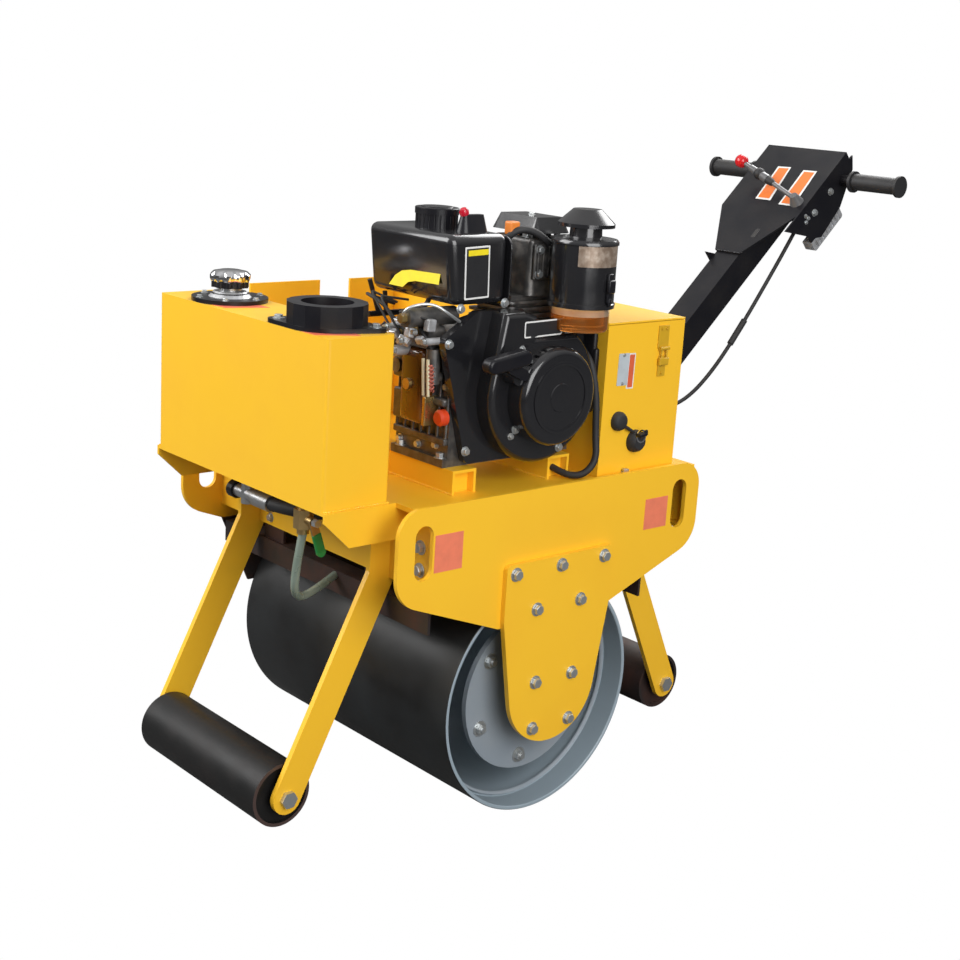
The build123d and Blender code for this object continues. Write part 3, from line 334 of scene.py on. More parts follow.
def dark_casting():
    """Cast engine parts darkened by oil and heat."""
    return surface("Dark casting", (0.11, 0.108, 0.106), 0.3, 0.5, stain=(0.3, 0.27, 0.24), scale=60,
                   amount=0.55, dust=0.03, bump=0.4, metallic=0.7)


def bronze_print():
    """Ribbed bronze foil of a blank sticker."""
    return surface("Bronze print", (0.26, 0.19, 0.14), 0.3, 0.45, stain=(0.55, 0.46, 0.38), scale=90,
                   amount=0.8, dust=0, bump=0.1, metallic=0.4)


def rubber():
    """Black rubber of grips, boots and hoses."""
    return surface("Black rubber", (0.018, 0.018, 0.02), 0.55, 0.7, bump=0.1)


def zinc():
    """Zinc plate of bolts, pins and unions."""
    return surface("Zinc plate", (0.62, 0.65, 0.66), 0.3, 0.45, stain=(0.25, 0.2, 0.14), scale=60,
                   amount=0.35, dust=0, metallic=0.85)


def cast_aluminium():
    """Cast aluminium of the pump's fittings and the handle's housing."""
    return surface("Cast aluminium", (0.62, 0.63, 0.65), 0.3, 0.48, stain=(0.08, 0.065, 0.05), scale=40,
                   amount=0.7, dust=0.04, bump=0.3, metallic=0.55)


def mill_steel():
    """Hot-rolled steel left unpainted, with a bloom of rust."""
    return surface("Mill steel", (0.032, 0.026, 0.026), 0.4, 0.6, stain=(0.085, 0.032, 0.02), scale=16,
                   amount=0.75, dust=0.08, bump=0.12, metallic=0.3)


def roller_steel():
    """Satin black over the front roller's tube, bare rusty steel at its ends."""
    end = front_high.x * near_end / mm
    return surface("Roller steel", (0.07, 0.045, 0.04), 0.36, 0.5, stain=(0.05, 0.03, 0.025), scale=18,
                   amount=0.12, dust=0.01, bump=0.05, specular=0.35,
                   second=(bpy.context.scene.roller_paint.drum, level("X", -end, end)))


def primer():
    """Grey primer inside the drum's ends."""
    return surface("Grey primer", (0.26, 0.3, 0.34), 0.36, 0.5, stain=(0.36, 0.38, 0.39), scale=12,
                   amount=0.3, dust=0.04)


def drum_paint():
    """Black on the drum's rolling surface and grey primer on the rest."""
    return surface("Drum paint", (0.31, 0.38, 0.43), 0.3, 0.45, stain=(0.12, 0.15, 0.17), scale=6,
                   amount=0.1, dust=0.02, bump=0.02,
                   second=(bpy.context.scene.roller_paint.drum, rolling_face))


def chrome():
    """Bright plating of the breather's cap and the switch's ring."""
    return surface("Chrome plate", (0.8, 0.8, 0.82), 0.06, 0.14, scale=40, amount=0.1, dust=0.05, bump=0,
                   metallic=1)


def cover_black_with_painted_reflection():
    """Black gloss cover whose brown colour and orange patches are a painted reflection of the yellow paint
    around it.
    """
    return surface("Black paint with painted reflection", (0.06, 0.02, 0.006), 0.12, 0.22, stain=(0.3, 0.1, 0.01), scale=12,
                   amount=0.7, dust=0.02, bump=0.02, coat=0.8)


def brass():
    """Brass of the pump's unions and tabs."""
    return surface("Brass", (0.6, 0.42, 0.16), 0.25, 0.4, stain=(0.2, 0.13, 0.06), scale=40, amount=0.4,
                   dust=0, metallic=0.9)


def brass_fitting():
    """Brass of the valve and plated steel of the elbow beside it."""
    return surface("Brass fitting", (0.55, 0.38, 0.16), 0.28, 0.42, stain=(0.2, 0.13, 0.06), scale=40,
                   amount=0.4, dust=0, metallic=0.9, second=((0.55, 0.56, 0.57), level("X", -200, 60)))


def clear_hose():
    """Soft translucent water hose, gone grey-green."""
    return surface("Clear hose", (0.3, 0.37, 0.31), 0.2, 0.32, stain=(0.12, 0.17, 0.12), scale=20,
                   amount=0.5, dust=0.02, bump=0, clear=0.25)


def oil_glass():
    """Clear moulded bowl, with dark oil standing in its lower part."""
    return surface("Clear bowl", (0.8, 0.62, 0.45), 0.06, 0.12, stain=(0.5, 0.24, 0.08), scale=30, amount=0.5,
                   dust=0, bump=0, clear=0.6, second=((0.42, 0.12, 0.015), level("Z", 840, 877)))


def plain_colour(name, colour, smooth=0.3, rough=0.42):
    """A small moulded, dipped or printed part in one colour."""
    return surface(name, colour, smooth, rough, stain=tuple(0.6 * c for c in colour), scale=50, amount=0.3,
                   dust=0.02, bump=0.02, coat=0.2)


def white_print():
    """White of the blank labels' borders."""
    return plain_colour("White print", (0.8, 0.8, 0.78))


def black_print():
    """Black of the blank labels' fields."""
    return plain_colour("Black print", (0.02, 0.02, 0.022))


def yellow_print():
    """Yellow of the blank bands on the fuel tank."""
    return plain_colour("Yellow print", (0.9, 0.72, 0.02))


def paint(material, *names):
    """Give CAD nodes their finish."""
    for name in names:
        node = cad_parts[name]
        node.data.materials.clear()
        node.data.materials.append(material)


# Modelled pieces


def place_object(name, data, body):
    """An object at the origin that rides on one body of the machine."""
    made = bpy.data.objects.new(name, data)
    bpy.context.scene.collection.objects.link(made)
    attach(made, body)
    return made


def piece(name, mesh, material, body="frame"):
    """A finished piece made of a bmesh."""
    data = bpy.data.meshes.new(name)
    bmesh.ops.recalc_face_normals(mesh, faces=mesh.faces)
    mesh.to_mesh(data)
    mesh.free()
    data.materials.append(material)
    return place_object(name, data, body)


def assemble(name, material, shapes, body="frame", smooth=False):
    """A piece put together from shapes, each given as its maker and what the maker needs."""
    mesh = bmesh.new()
    for maker, *values in shapes:
        maker(mesh, *values)
    if smooth:
        smooth_faces(mesh)
    return piece(name, mesh, material, body)


def bevel(mesh, edges, width, segments):
    """Round edges by a width in millimetres."""
    bmesh.ops.bevel(mesh, geom=edges, offset=width * mm, affect="EDGES", segments=segments, profile=0.5,
                    material=-1)


def edges_of(made):
    """The edges of a shape that an operator has just made."""
    return list({edge for vert in made["verts"] for edge in vert.link_edges})


def extrude(mesh, face, shift):
    """Give a face its thickness."""
    grown = bmesh.ops.extrude_face_region(mesh, geom=[face])
    raised = [v for v in grown["geom"] if isinstance(v, bmesh.types.BMVert)]
    bmesh.ops.translate(mesh, verts=raised, vec=shift)


def add_bolt(mesh, matrix, radius, height):
    """A hexagon head with its washer, standing on the ground plane of the matrix."""
    washer = 0.15 * height
    for reach, thick, low, sides in ((1.35 * radius, washer, 0, 20), (radius, height, washer, 6)):
        made = bmesh.ops.create_cone(
            mesh, cap_ends=True, segments=sides, radius1=reach * mm, radius2=reach * mm, depth=thick * mm,
            matrix=matrix @ Matrix.Translation((0, 0, (low + thick / 2) * mm)))
    bevel(mesh, edges_of(made), 0.1 * radius, 2)


def bolts(name, places, normal, radius, height, material=None, body="frame"):
    """Bolts of one size on one face, turned differently from each other."""
    mesh = bmesh.new()
    for i, place in enumerate(places):
        add_bolt(mesh, seat(place, normal, (0, 1, 0.2)) @ Matrix.Rotation(0.7 * i, 4, "Z"), radius, height)
    return piece(name, mesh, material or zinc(), body)


def add_box(mesh, matrix, low, high, edge=0.0):
    """A box between two corners in millimetres on the matrix, with rounded edges."""
    low, high = Vector(low) * mm, Vector(high) * mm
    size = Matrix.Diagonal((*(high - low), 1))
    made = bmesh.ops.create_cube(mesh, size=1, matrix=matrix @ Matrix.Translation((low + high) / 2) @ size)
    if edge:
        bevel(mesh, edges_of(made), edge, 3)


def add_rod(mesh, start, end, radius, far_radius=None, segments=20):
    """A rod or cone between two points in millimetres."""
    first, last = spot(*start), spot(*end)
    turn = (last - first).to_track_quat("Z", "Y").to_matrix().to_4x4()
    bmesh.ops.create_cone(
        mesh, cap_ends=True, segments=segments, radius1=radius * mm,
        radius2=(radius if far_radius is None else far_radius) * mm, depth=(last - first).length,
        matrix=Matrix.Translation((first + last) / 2) @ turn)


def add_nut(mesh, start, end, radius):
    """A hexagon nut or plug between two points in millimetres."""
    add_rod(mesh, start, end, radius, segments=6)


def add_lathe(mesh, matrix, profile, segments=32):
    """A profile of radius and height in millimetres, turned about the matrix's Z axis."""
    ring = [mesh.verts.new(matrix @ Vector((r * mm, 0, h * mm))) for r, h in profile]
    edges = [mesh.edges.new(pair) for pair in zip(ring, ring[1:])]
    bmesh.ops.spin(
        mesh, geom=ring + edges, cent=matrix.translation, axis=matrix.to_3x3() @ Vector((0, 0, 1)),
        angle=math.tau, steps=segments, use_merge=True)
    bmesh.ops.remove_doubles(mesh, verts=mesh.verts, dist=merge_distance)


def add_plate(mesh, matrix, outline, thick):
    """A flat plate with a given outline in millimetres, lying on the matrix's plane."""
    face = mesh.faces.new([mesh.verts.new(matrix @ Vector((x * mm, y * mm, 0))) for x, y in outline])
    extrude(mesh, face, matrix.to_3x3() @ Vector((0, 0, thick * mm)))


def arc(x, y, radius, start, end, steps):
    """Points along an arc about a point, between two angles in degrees."""
    turns = [math.radians(start + (end - start) * i / steps) for i in range(steps + 1)]
    return [(x + radius * math.cos(a), y + radius * math.sin(a)) for a in turns]


def rounded(width, height, corner, steps=5):
    """The outline of a rectangle with round corners about its middle."""
    points = []
    for i, (sx, sy) in enumerate(((1, 1), (-1, 1), (-1, -1), (1, -1))):
        x, y = sx * (width / 2 - corner), sy * (height / 2 - corner)
        points += arc(x, y, corner, 90 * i, 90 * (i + 1), steps)
    return points


def smooth_faces(mesh):
    """Shade a piece smooth, with its sharp corners kept."""
    for face in mesh.faces:
        face.smooth = True
    for edge in mesh.edges:
        edge.smooth = edge.calc_face_angle(0) < math.radians(40)


def label(name, place, normal, along, width, height, material, corner=1.0, thick=0.4):
    """A blank sticker or name plate on the frame."""
    outline = rounded(width, height, corner)
    return assemble(name, material, [(add_plate, seat(place, normal, along), outline, thick)])


def add_weld(mesh, start, end, radius):
    """A weld bead of overlapping ripples between two points in millimetres."""
    start, end = Vector(start), Vector(end)
    count = max(2, int((end - start).length / (1.3 * radius)))
    for i in range(count + 1):
        place = start.lerp(end, i / count)
        bmesh.ops.create_icosphere(
            mesh, subdivisions=1, radius=radius * mm * (1 + 0.12 * math.sin(2.7 * i)),
            matrix=Matrix.Translation(spot(*place)) @ Matrix.Rotation(1.9 * i, 4, "X"))


def welds(name, lines, radius, material, body="frame"):
    """Several weld beads in one piece."""
    return assemble(name, material, [(add_weld, start, end, radius) for start, end in lines], body)


def tube(name, points, diameter, material, body="frame"):
    """A smooth round tube through control points in millimetres."""
    data = bpy.data.curves.new(name, "CURVE")
    data.dimensions = "3D"
    data.bevel_depth = diameter * mm / 2
    data.bevel_resolution = 5
    data.resolution_u = 12
    data.use_fill_caps = True
    line = data.splines.new("NURBS")
    line.points.add(len(points) - 1)
    for point, place in zip(line.points, points):
        point.co = (*spot(*place), 1)
    line.order_u = 3
    line.use_endpoint_u = True
    data.materials.append(material)
    return place_object(name, data, body)


def spring(name, start, end, turns, across, wire, material):
    """A helical spring between two points in millimetres."""
    first, last = Vector(start), Vector(end)
    middle = parked.inverted() @ seat(first, last - first, (1, 0, 0))
    length, steps = (last - first).length, turns * 8
    points = []
    for i, (x, y) in enumerate(arc(0, 0, across / 2, 0, 360 * turns, steps)):
        points.append(middle @ (Vector((x, y, length * i / steps)) * mm) / mm)
    return tube(name, points, wire, material)


def held_cord(name, points, diameter, material, node, body="frame"):
    """A hose or cable that goes from one part of the machine to another."""
    made = tube(name, points, diameter, material, body=body)
    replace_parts(made, node)
    return made


# Settings


class RollerPaint(bpy.types.PropertyGroup):
    """Colours of the machine."""

    body: FloatVectorProperty(
        name="Body paint", description="Yellow of the frame, tank and box", subtype="COLOR",
        size=3, min=0, max=1, default=(0.96, 0.545, 0.025))
    engine: FloatVectorProperty(
        name="Engine black", description="Gloss black of the engine's covers", subtype="COLOR",
        size=3, min=0, max=1, default=(0.012, 0.012, 0.014))
    handle: FloatVectorProperty(
        name="Handle black", description="Satin black of the handle", subtype="COLOR",
        size=3, min=0, max=1, default=(0.007, 0.007, 0.01))
    drum: FloatVectorProperty(
        name="Drum black", description="Black of the drum's rolling surface", subtype="COLOR",
        size=3, min=0, max=1, default=(0.01, 0.01, 0.01))


class RollerStage(bpy.types.PropertyGroup):
    """The studio and the camera."""

    key: FloatProperty(
        name="Key lamp", description="Power of the large lamp", unit="POWER", default=142, min=0)
    fill: FloatProperty(
        name="Fill lamp", description="Power of the side and back lamps", unit="POWER", default=94, min=0)
    sky: FloatProperty(
        name="Surround", description="Light level of the room", subtype="FACTOR", default=0.42, min=0)
    azimuth: FloatProperty(
        name="Azimuth", description="Camera's turn from the front towards the left side",
        unit="ROTATION", default=math.radians(49.1))
    elevation: FloatProperty(
        name="Elevation", description="Camera's height above the horizon", unit="ROTATION",
        default=math.radians(18.19))
    roll: FloatProperty(
        name="Roll", description="Camera's turn about its view", unit="ROTATION",
        default=math.radians(-0.563))
    lens: FloatProperty(
        name="Lens", description="Focal length in millimetres", subtype="DISTANCE_CAMERA",
        default=59.01, min=1)


# Operators


class ROLLER_OT_paint_frame(bpy.types.Operator):
    """Paint the frame, tank, box and arms"""

    bl_idname = "roller.paint_frame"
    bl_label = "Paint frame"

    def execute(self, context):
        paint(body_paint(), "side_plates", "drum_brackets", "deck_plate", "front_beam", "rear_beam",
              "engine_rails", "front_tank", "front_arms", "rear_arms", "guard_panels", "rear_box", "box_lid")
        paint(mill_steel(), "scraper_bars", "rear_roller")
        paint(roller_steel(), "front_roller")
        paint(primer(), "axle_housings")
        paint(zinc(), "front_roller_pin", "rear_roller_pin")
        paint(satin_black(), "filler_collar", "breather")
        paint(brass_fitting(), "pipe_fittings")
        seam = deck_top + 1
        welds("tank_welds", [
            ((245, -436, seam), (245, -313, seam)), ((-245, -436, seam), (-245, -313, seam)),
            ((-246, -300, 582), (-246, -262, 582)), ((246, -300, 582), (246, -262, 582)),
        ], 2.2, body_paint())
        welds("rail_welds", [
            ((-120, y, seam), (260, y, seam)) for y in (-193.5, -143.5, 18.5, 68.5)
        ], 2, body_paint())
        return {"FINISHED"}


class ROLLER_OT_paint_drum(bpy.types.Operator):
    """Paint the drum and its hub discs"""

    bl_idname = "roller.paint_drum"
    bl_label = "Paint drum"

    def execute(self, context):
        paint(drum_paint(), "drum_shell")
        paint(primer(), "drum_hubs")
        circle = 121
        stud, washer = (13, 5), (1.6, 14)
        for side, hub in ((1, "left_hub"), (-1, "right_hub")):
            places = [(side * hub_face, y, z) for y, z in arc(0, drum_radius, circle, 23, 323, 5)]
            bolts(f"{hub}_bolts", places, (side, 0, 0), 10, 8, body="drum")
            assemble(f"{hub}_studs", zinc(), [
                (add_rod, (x, y, z), (x + side * reach, y, z), radius)
                for x, y, z in places for reach, radius in (stud, washer)
            ], "drum")
        self.thin_rim()
        return {"FINISHED"}

    def thin_rim(self):
        """The rolled shell with its thin edge, and the weld around each end plate."""
        across = seat((0, 0, drum_radius), (1, 0, 0), (0, 0, 1))
        wall, thick, corner, bead = 7, 12, 1.5, 5
        mouth, depth, steps = 300, 46, 128
        inner, plate = drum_radius - wall, mouth - depth
        half = [(drum_radius - thick, plate - 4), (inner, plate), (inner, mouth - corner),
                (inner + corner, mouth), (drum_radius - corner, mouth), (drum_radius, mouth - corner)]
        profile = half + [(r, -x) for r, x in reversed(half)] + [half[0]]
        shell = assemble("drum_shell_rolled", drum_paint(), [
            (add_lathe, across, profile, steps)], "drum", smooth=True)
        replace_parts(shell, "drum_shell")
        fillet = arc(drum_radius - thick, plate - 2, bead, 90, 180, 4)
        assemble("drum_end_welds", primer(), [
            (add_lathe, across, [(r, side * x) for r, x in fillet], steps) for side in (-1, 1)
        ], "drum", smooth=True)


class ROLLER_OT_fit_tank(bpy.types.Operator):
    """Fit the tank's breather cap, collar screws, stickers, valve lever and hoses"""

    bl_idname = "roller.fit_tank"
    bl_label = "Fit tank"

    def execute(self, context):
        self.cap_breather(Vector((-130, -372, tank_top)))
        ear, reach = math.radians(36), 96 - 17
        bolts("collar_bolts", [
            (150 + side * reach * math.cos(ear), -374 + side * reach * math.sin(ear), tank_top + 7)
            for side in (-1, 1)
        ], (0, 0, 1), 7, 5)
        top = seat((0, 0, tank_top), (0, 0, 1), (1, 0, 0))
        assemble("tank_stickers", plain_colour("Salmon print", (0.8, 0.16, 0.09), 0.4, 0.5), [
            (add_plate, top, [(-129, -430), (-62, -424), (-40, -352), (-110, -358)], 0.4),
            (add_plate, top, [(100, -436), (204, -435), (236, -372), (135, -350)], 0.4)])
        hook_print = plain_colour("Hook print", (0.86, 0.22, 0.12), 0.4, 0.5)
        for side, where in ((1, "left"), (-1, "right")):
            for what, y, z, height in (("front", -245, 517, 62), ("rear", 237, 513, 56)):
                label(f"{where}_{what}_hook_sticker", (side * plate_face, y, z), (side, 0, 0), (0, 1, 0),
                      58, height, hook_print)
        self.fit_valve()
        held_cord("water_line", [
            (148, -405, 527), (137, -409, 468), (112, -393, 403), (72, -326, 391), (47, -263, 404),
        ], 14, clear_hose(), "water_hose")
        held_cord("hydraulic_line", [
            (31, -385, 543), (90, -379, 545), (141, -331, 547), (152, -270, 548),
        ], 24, rubber(), "hydraulic_hose")
        return {"FINISHED"}

    def cap_breather(self, place):
        """The breather's lobed cap, its cone and neck, and the screws of its flange."""
        mesh = bmesh.new()
        top = seat(place + Vector((0, 0, 30)), (0, 0, 1), (1, 0, 0))
        steps, lobes, lobe, lobed_from = 80, 10, 1.8, 30
        rings = []
        for reach, height in ((20, 0), (31, 3), (33, 8), (33, 14), (29, 19), (18, 21.5), (0.0, 22)):
            wave = lobe if reach > lobed_from else 0
            ring = []
            for turn in (math.tau * i / steps for i in range(steps)):
                radius = reach + wave * math.cos(lobes * turn)
                point = Vector((radius * math.cos(turn), radius * math.sin(turn), height))
                ring.append(mesh.verts.new(top @ (point * mm)))
            rings.append(ring)
        for lower, upper in zip(rings, rings[1:]):
            for i in range(steps):
                mesh.faces.new((lower[i - 1], lower[i], upper[i], upper[i - 1]))
        bmesh.ops.remove_doubles(mesh, verts=mesh.verts, dist=merge_distance)
        smooth_faces(mesh)
        piece("breather_cap", mesh, chrome())
        flange = place + Vector((0, 0, 7))
        base = seat(flange, (0, 0, 1), (1, 0, 0))
        assemble("breather_cone", cast_aluminium(), [
            (add_lathe, base, ((36, 0), (34.4, 1.5), (27, 9.5), (17.8, 9.7)), 48)], smooth=True)
        assemble("breather_neck_sleeve", brass_fitting(), [
            (add_lathe, base, ((18.5, 9), (18.5, 24), (17, 24)))], smooth=True)
        ring = arc(flange.x, flange.y, 54, 20, 320, 5)
        bolts("breather_screws", [(x, y, flange.z) for x, y in ring], (0, 0, 1), 4.5, 3.5)

    def fit_valve(self):
        """The valve's grip and nut, the elbow's plug, and the bolts of the plate behind them."""
        along = Vector((0, 17, -52))
        grip = seat((171.4, -405, 552), (1, 0, 0), along)
        assemble("valve_lever_grip", plain_colour("Green dip", (0.01, 0.22, 0.045)), [
            (add_rod, (171.5, -388, 500), (177.2, -388, 500), 8.2),
            (add_box, grip, (0.4 * along.length, -8.2, 0), (along.length, 8.2, 5.8), 1.6)])
        assemble("elbow_plug", satin_black(), [
            (add_rod, (-87, -385, 543), (-72, -385, 543), 15.4, 15.4, 16),
            (add_nut, (-43, -385, 566), (-43, -385, 578), 14)])
        forward = (0, -1, 0)
        bolts("cross_plate_bolts", [
            (side * 274, cross_plate, z) for side in (-1, 1) for z in (515, 477)], forward, 9, 8)
        assemble("valve_nut", zinc(), [(add_nut, (178, -405, 552), (188, -405, 552), 7)])
        bolts("hanger_bolts", [(side * 150, cross_plate, 456) for side in (-1, 1)], forward, 6.5, 5)


class ROLLER_OT_finish_engine(bpy.types.Operator):
    """Finish the engine's castings, covers and fuel tank"""

    bl_idname = "roller.finish_engine"
    bl_label = "Finish engine"

    def execute(self, context):
        paint(black_paint(), "fan_shroud", "recoil_starter", "fuel_tank", "muffler", "air_cleaner")
        paint(satin_black(), "fuel_cap", "recoil_handle")
        paint(dark_casting(), "crankcase", "cylinder", "rocker_cover", "injection_pump")
        paint(oil_glass(), "oil_bowl")
        self.round_tank()
        self.dress_tank()
        self.dress_cover()
        self.lay_pipes()
        self.dress_front()
        self.crowd_pump()
        self.dress_cleaner()
        self.dress_head()
        held_cord("engine_line", [
            (245, 43, 604), (267, 47, 598), (287, 58, 595), (300, 73, 602), (306, 89, 626),
            (299, 89, 666), (296, 88, 724), (287, 86, 770), (272, 84, 800), (250, 84, 812),
        ], 12, rubber(), "engine_cable")
        return {"FINISHED"}

    def round_tank(self):
        """The pressed tank with its full corners and the rolled seam."""
        tank = bmesh.new()
        add_box(tank, level_axes, (20, -205, 890), (tank_side, -80, 1004))
        for vert in tank.verts:
            place = parked.inverted() @ vert.co / mm
            if place.y < -150 and place.z < 950:
                vert.co = spot(place.x, -192, 892)
        bevel(tank, list(tank.edges), 15, 6)
        for face in tank.faces:
            face.smooth = True
        seam = bmesh.new()
        add_plate(seam, seat((128, -80, 944), (0, 1, 0), (1, 0, 0)), rounded(228, 112, 20, 8), 3)
        bevel(seam, list(seam.edges), 1.2, 2)
        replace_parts(piece("fuel_tank_shell", tank, black_paint()), "fuel_tank")
        piece("fuel_tank_seam", seam, black_paint())

    def dress_tank(self):
        """The fuel tank's blank prints, vent knob, cap and bolts."""
        front = seat((145, -199.4, 926), (0, -1, 0.14), (1, 0, 0))
        low = [(-62, -19), (-50, -3), (-34, 7), (-12, 11), (62, 14)]
        high = [(62, -3), (4, -5), (-14, -9), (-26, -19)]
        assemble("tank_swoosh", yellow_print(), [(add_plate, front, low + high, 0.5)])
        for what, lift, z, width, height, print_of, corner in (
            ("border", 0, 944, 52, 84, white_print, 1.5), ("field", 0.4, 944, 46, 78, black_print, 1),
            ("band", 0.8, 976, 42, 9, yellow_print, 1),
        ):
            label(f"tank_label_{what}", (tank_side + lift, -146, z), (1, 0, 0), (0, 1, 0.04), width, height,
                  print_of(), corner, 0.5)
        knob = seat((200, -147, 1030), (0.1, -0.5, 1))
        assemble("vent_knob", plain_colour("Red knob", (0.55, 0.01, 0.03), 0.15, 0.25), [
            (add_lathe, knob, ((0, 14), (5, 13), (8, 8), (7.5, 3), (4, 0), (4, -4)), 24)], smooth=True)
        cap = ((36.2, -10), (36.4, -0.5), (35.4, 0.7), (27, 0.9), (26, 2.2), (0, 2.6))
        assemble("fuel_cap_lid", satin_black(), [
            (add_lathe, seat((128, -145, 1036), (0, 0, 1)), cap, 48)], smooth=True)
        bolts("tank_bolts", [(tank_side + 2, -85, 893), (tank_side + 2, -178, 888)], (1, 0, 0), 6, 5)

    def dress_cover(self):
        """The fan shroud's bolts, blank badge and vents, and the starter's ring and screws."""
        outward = (1, 0, 0)
        bolts("flange_bolts", [
            (flange_face, y, z) for y, z in ((-209, 835), (-162, 656), (80, 700))], outward, 6, 6)
        bolts("shroud_bolts", [
            (shroud_face, y, z) for y, z in ((-86, 692), (29, 810), (16, 651))], outward, 6, 5)
        for what, rise, width, height, print_of, corner, thick in (
            ("badge_border", 0, 84, 27, white_print, 3, 0.4), ("badge", 0.3, 79, 22, black_print, 2, 0.5),
        ):
            label(f"shroud_{what}", (shroud_face + rise, -38, 856), outward, (0, 1, 0.02), width, height,
                  print_of(), corner, thick)
        y, z, lift, circle = -26, 747, 40, 96
        starter = seat((shroud_face + lift, y, z), outward)
        assemble("recoil_ring", black_paint(), [
            (add_lathe, starter, ((60, 0), (60, 1.6), (57, 2.2), (54, 1.6), (54, 0)), 64),
            (add_lathe, starter, ((24, 0), (23, 1.4), (0, 2)), 40)], smooth=True)
        bolts("recoil_screws", [
            (shroud_face, y + circle * math.cos(a), z + circle * math.sin(a)) for a in (0.35, 2.2, 3.9, 5.5)
        ], outward, 4.5, 4)
        assemble("shroud_vents", rubber(), [
            (add_plate, seat((shroud_face + 0.2, y, z), outward, (0, math.cos(turn), math.sin(turn))),
             rounded(22, 6, 2.9), 0.3)
            for y, z, turn in ((-87, 824, 0.7), (-55, 846, 0.35), (9, 817, -0.7))])

    def lay_pipes(self):
        """The fuel, pump and return pipes with their unions, and the governor's rods and springs."""
        for name, diameter, material, slot, points in (
            ("fuel_pipe", 8, rubber, "rubber", [
                (150, -170, 892), (150, -178, 878), (170, -212, 872), (205, -230, 850), (216, -214, 822),
                (215, -210, 808)]),
            ("pump_pipe", 5, zinc, "zinc", [
                (200, -258, 872), (200, -268, 872), (214, -268, 892), (232, -232, 900), (246, -204, 880),
                (240, -180, 868)]),
            ("return_pipe", 6, rubber, "rubber", [
                (60, -170, 870), (48, -214, 884), (66, -236, 892), (110, -232, 880), (140, -224, 850),
                (160, -222, 842)]),
        ):
            tube(name, points, diameter, material())
        assemble("pump_unions", brass(), [
            (add_nut, (200, -270, 872), (200, -258, 872), 8),
            (add_nut, (184, -238, 846), (184, -222, 846), 7.5),
            (add_nut, (140, -236, 836), (140, -222, 836), 9),
            (add_rod, (215, -210, 800), (215, -210, 812), 6)])
        assemble("governor_rods", satin_black(), [
            (add_rod, (50, -217, 911), (50, -196, 855), 4), (add_rod, (50, -184, 890), (50, -180, 856), 4),
            (add_rod, (50, -218, 853), (50, -94, 853), 5), (add_rod, (44, -94, 853), (110, -94, 853), 5)])
        pink = plain_colour("Pink plastic", (0.5, 0.14, 0.1))
        for i, x in enumerate((223, 229)):
            spring(f"governor_spring_{i + 1}", (x, -226, 800), (x, -222, 756), 7, 8, 2.4, pink)
        assemble("governor_links", plain_colour("Cream plastic", (0.7, 0.62, 0.42)), [
            (add_rod, (x, -230, 808), (x, -226, 748), 2.6) for x in (214, 226)])

    def dress_front(self):
        """The plug, bolts, bosses and ribs on the crankcase's front."""
        plug = seat((229, -192, 711), (0, -1, 0), (1, 0, 0))
        assemble("filler_plug", plain_colour("Red plug", (0.72, 0.06, 0.012)), [
            (add_lathe, plug, ((13.5, 0), (13.5, 11), (10, 15), (0, 16)), 24)], smooth=True)
        heads = ((112, 815), (112, 720), (225, 815), (225, 760), (112, 652), (205, 660), (160, 652))
        bolts("case_bolts", [(x, case_front + 1, z) for x, z in heads], (0, -1, 0), 5.5, 6)
        ribs = [(add_rod, (108 + 21 * i, -192, 676), (108 + 21 * i, -186, 826), 2.5) for i in range(7)]
        assemble("case_bosses", dark_casting(), [
            (add_box, level_axes, (204, -200, 728), (234, case_front, 742), 5),
            (add_box, level_axes, (108, -206, 760), (140, case_front, 800), 4),
            (add_box, level_axes, (104, -200, 690), (138, case_front, 740), 4),
            (add_rod, (122, -212, 780), (122, case_front, 780), 12),
            (add_rod, (218, -218, 776), (218, -196, 776), 7),
            *ribs,
            (add_box, level_axes, (102, -196, 822), (236, case_front + 1, 832), 3),
            (add_box, level_axes, (102, -196, 664), (236, case_front + 1, 676), 3)])

    def crowd_pump(self):
        """The pump's castings and wires under the tank, the cover with its tabs, and the feet's bolts."""
        castings = []
        for x, y, z, wide, deep, high, turn in (
            (126, -232, 826, 18, 14, 22, 0.3), (148, -238, 838, 16, 12, 14, -0.4),
            (172, -236, 830, 20, 14, 12, 0.7), (196, -246, 848, 14, 12, 16, 0.2),
            (140, -222, 856, 26, 16, 10, -0.2), (178, -214, 866, 16, 20, 14, 0.5),
            (222, -226, 862, 12, 18, 20, 0.1), (214, -238, 838, 14, 10, 12, -0.6),
        ):
            half = Vector((wide, deep, high)) / 2
            sine, cosine = math.sin(turn), math.cos(turn)
            turned = seat((x, y, z), (0, sine, cosine), (cosine, 0, -sine))
            castings.append((add_box, turned, -half, half, 2.5))
        for x, z, radius in ((118, 812, 8), (156, 812, 9), (232, 838, 6), (134, 846, 7), (190, 862, 6)):
            castings.append((add_rod, (x, -244, z), (x, -200, z), radius))
        assemble("pump_castings", cast_aluminium(), castings)
        screws = []
        for x, z, radius in ((118, 812, 5.5), (134, 846, 5), (156, 812, 6), (232, 838, 4.5), (190, 862, 4.5),
                             (172, 830, 5), (206, 850, 4)):
            screws.append((add_nut, (x, -250, z), (x, -242, z), radius))
            screws.append((add_rod, (x, -244, z), (x, -242, z), radius * 1.35))
        assemble("pump_screws", zinc(), screws)
        for i, (start, middle, end) in enumerate((
            ((104, -200, 880), (92, -246, 900), (140, -240, 846)),
            ((120, -190, 886), (124, -252, 896), (172, -246, 842)),
            ((176, -210, 884), (186, -262, 880), (222, -232, 872)),
            ((92, -214, 846), (96, -250, 822), (122, -236, 826)),
        )):
            rise, fall = Vector(start).lerp(middle, 0.8), Vector(end).lerp(middle, 0.6)
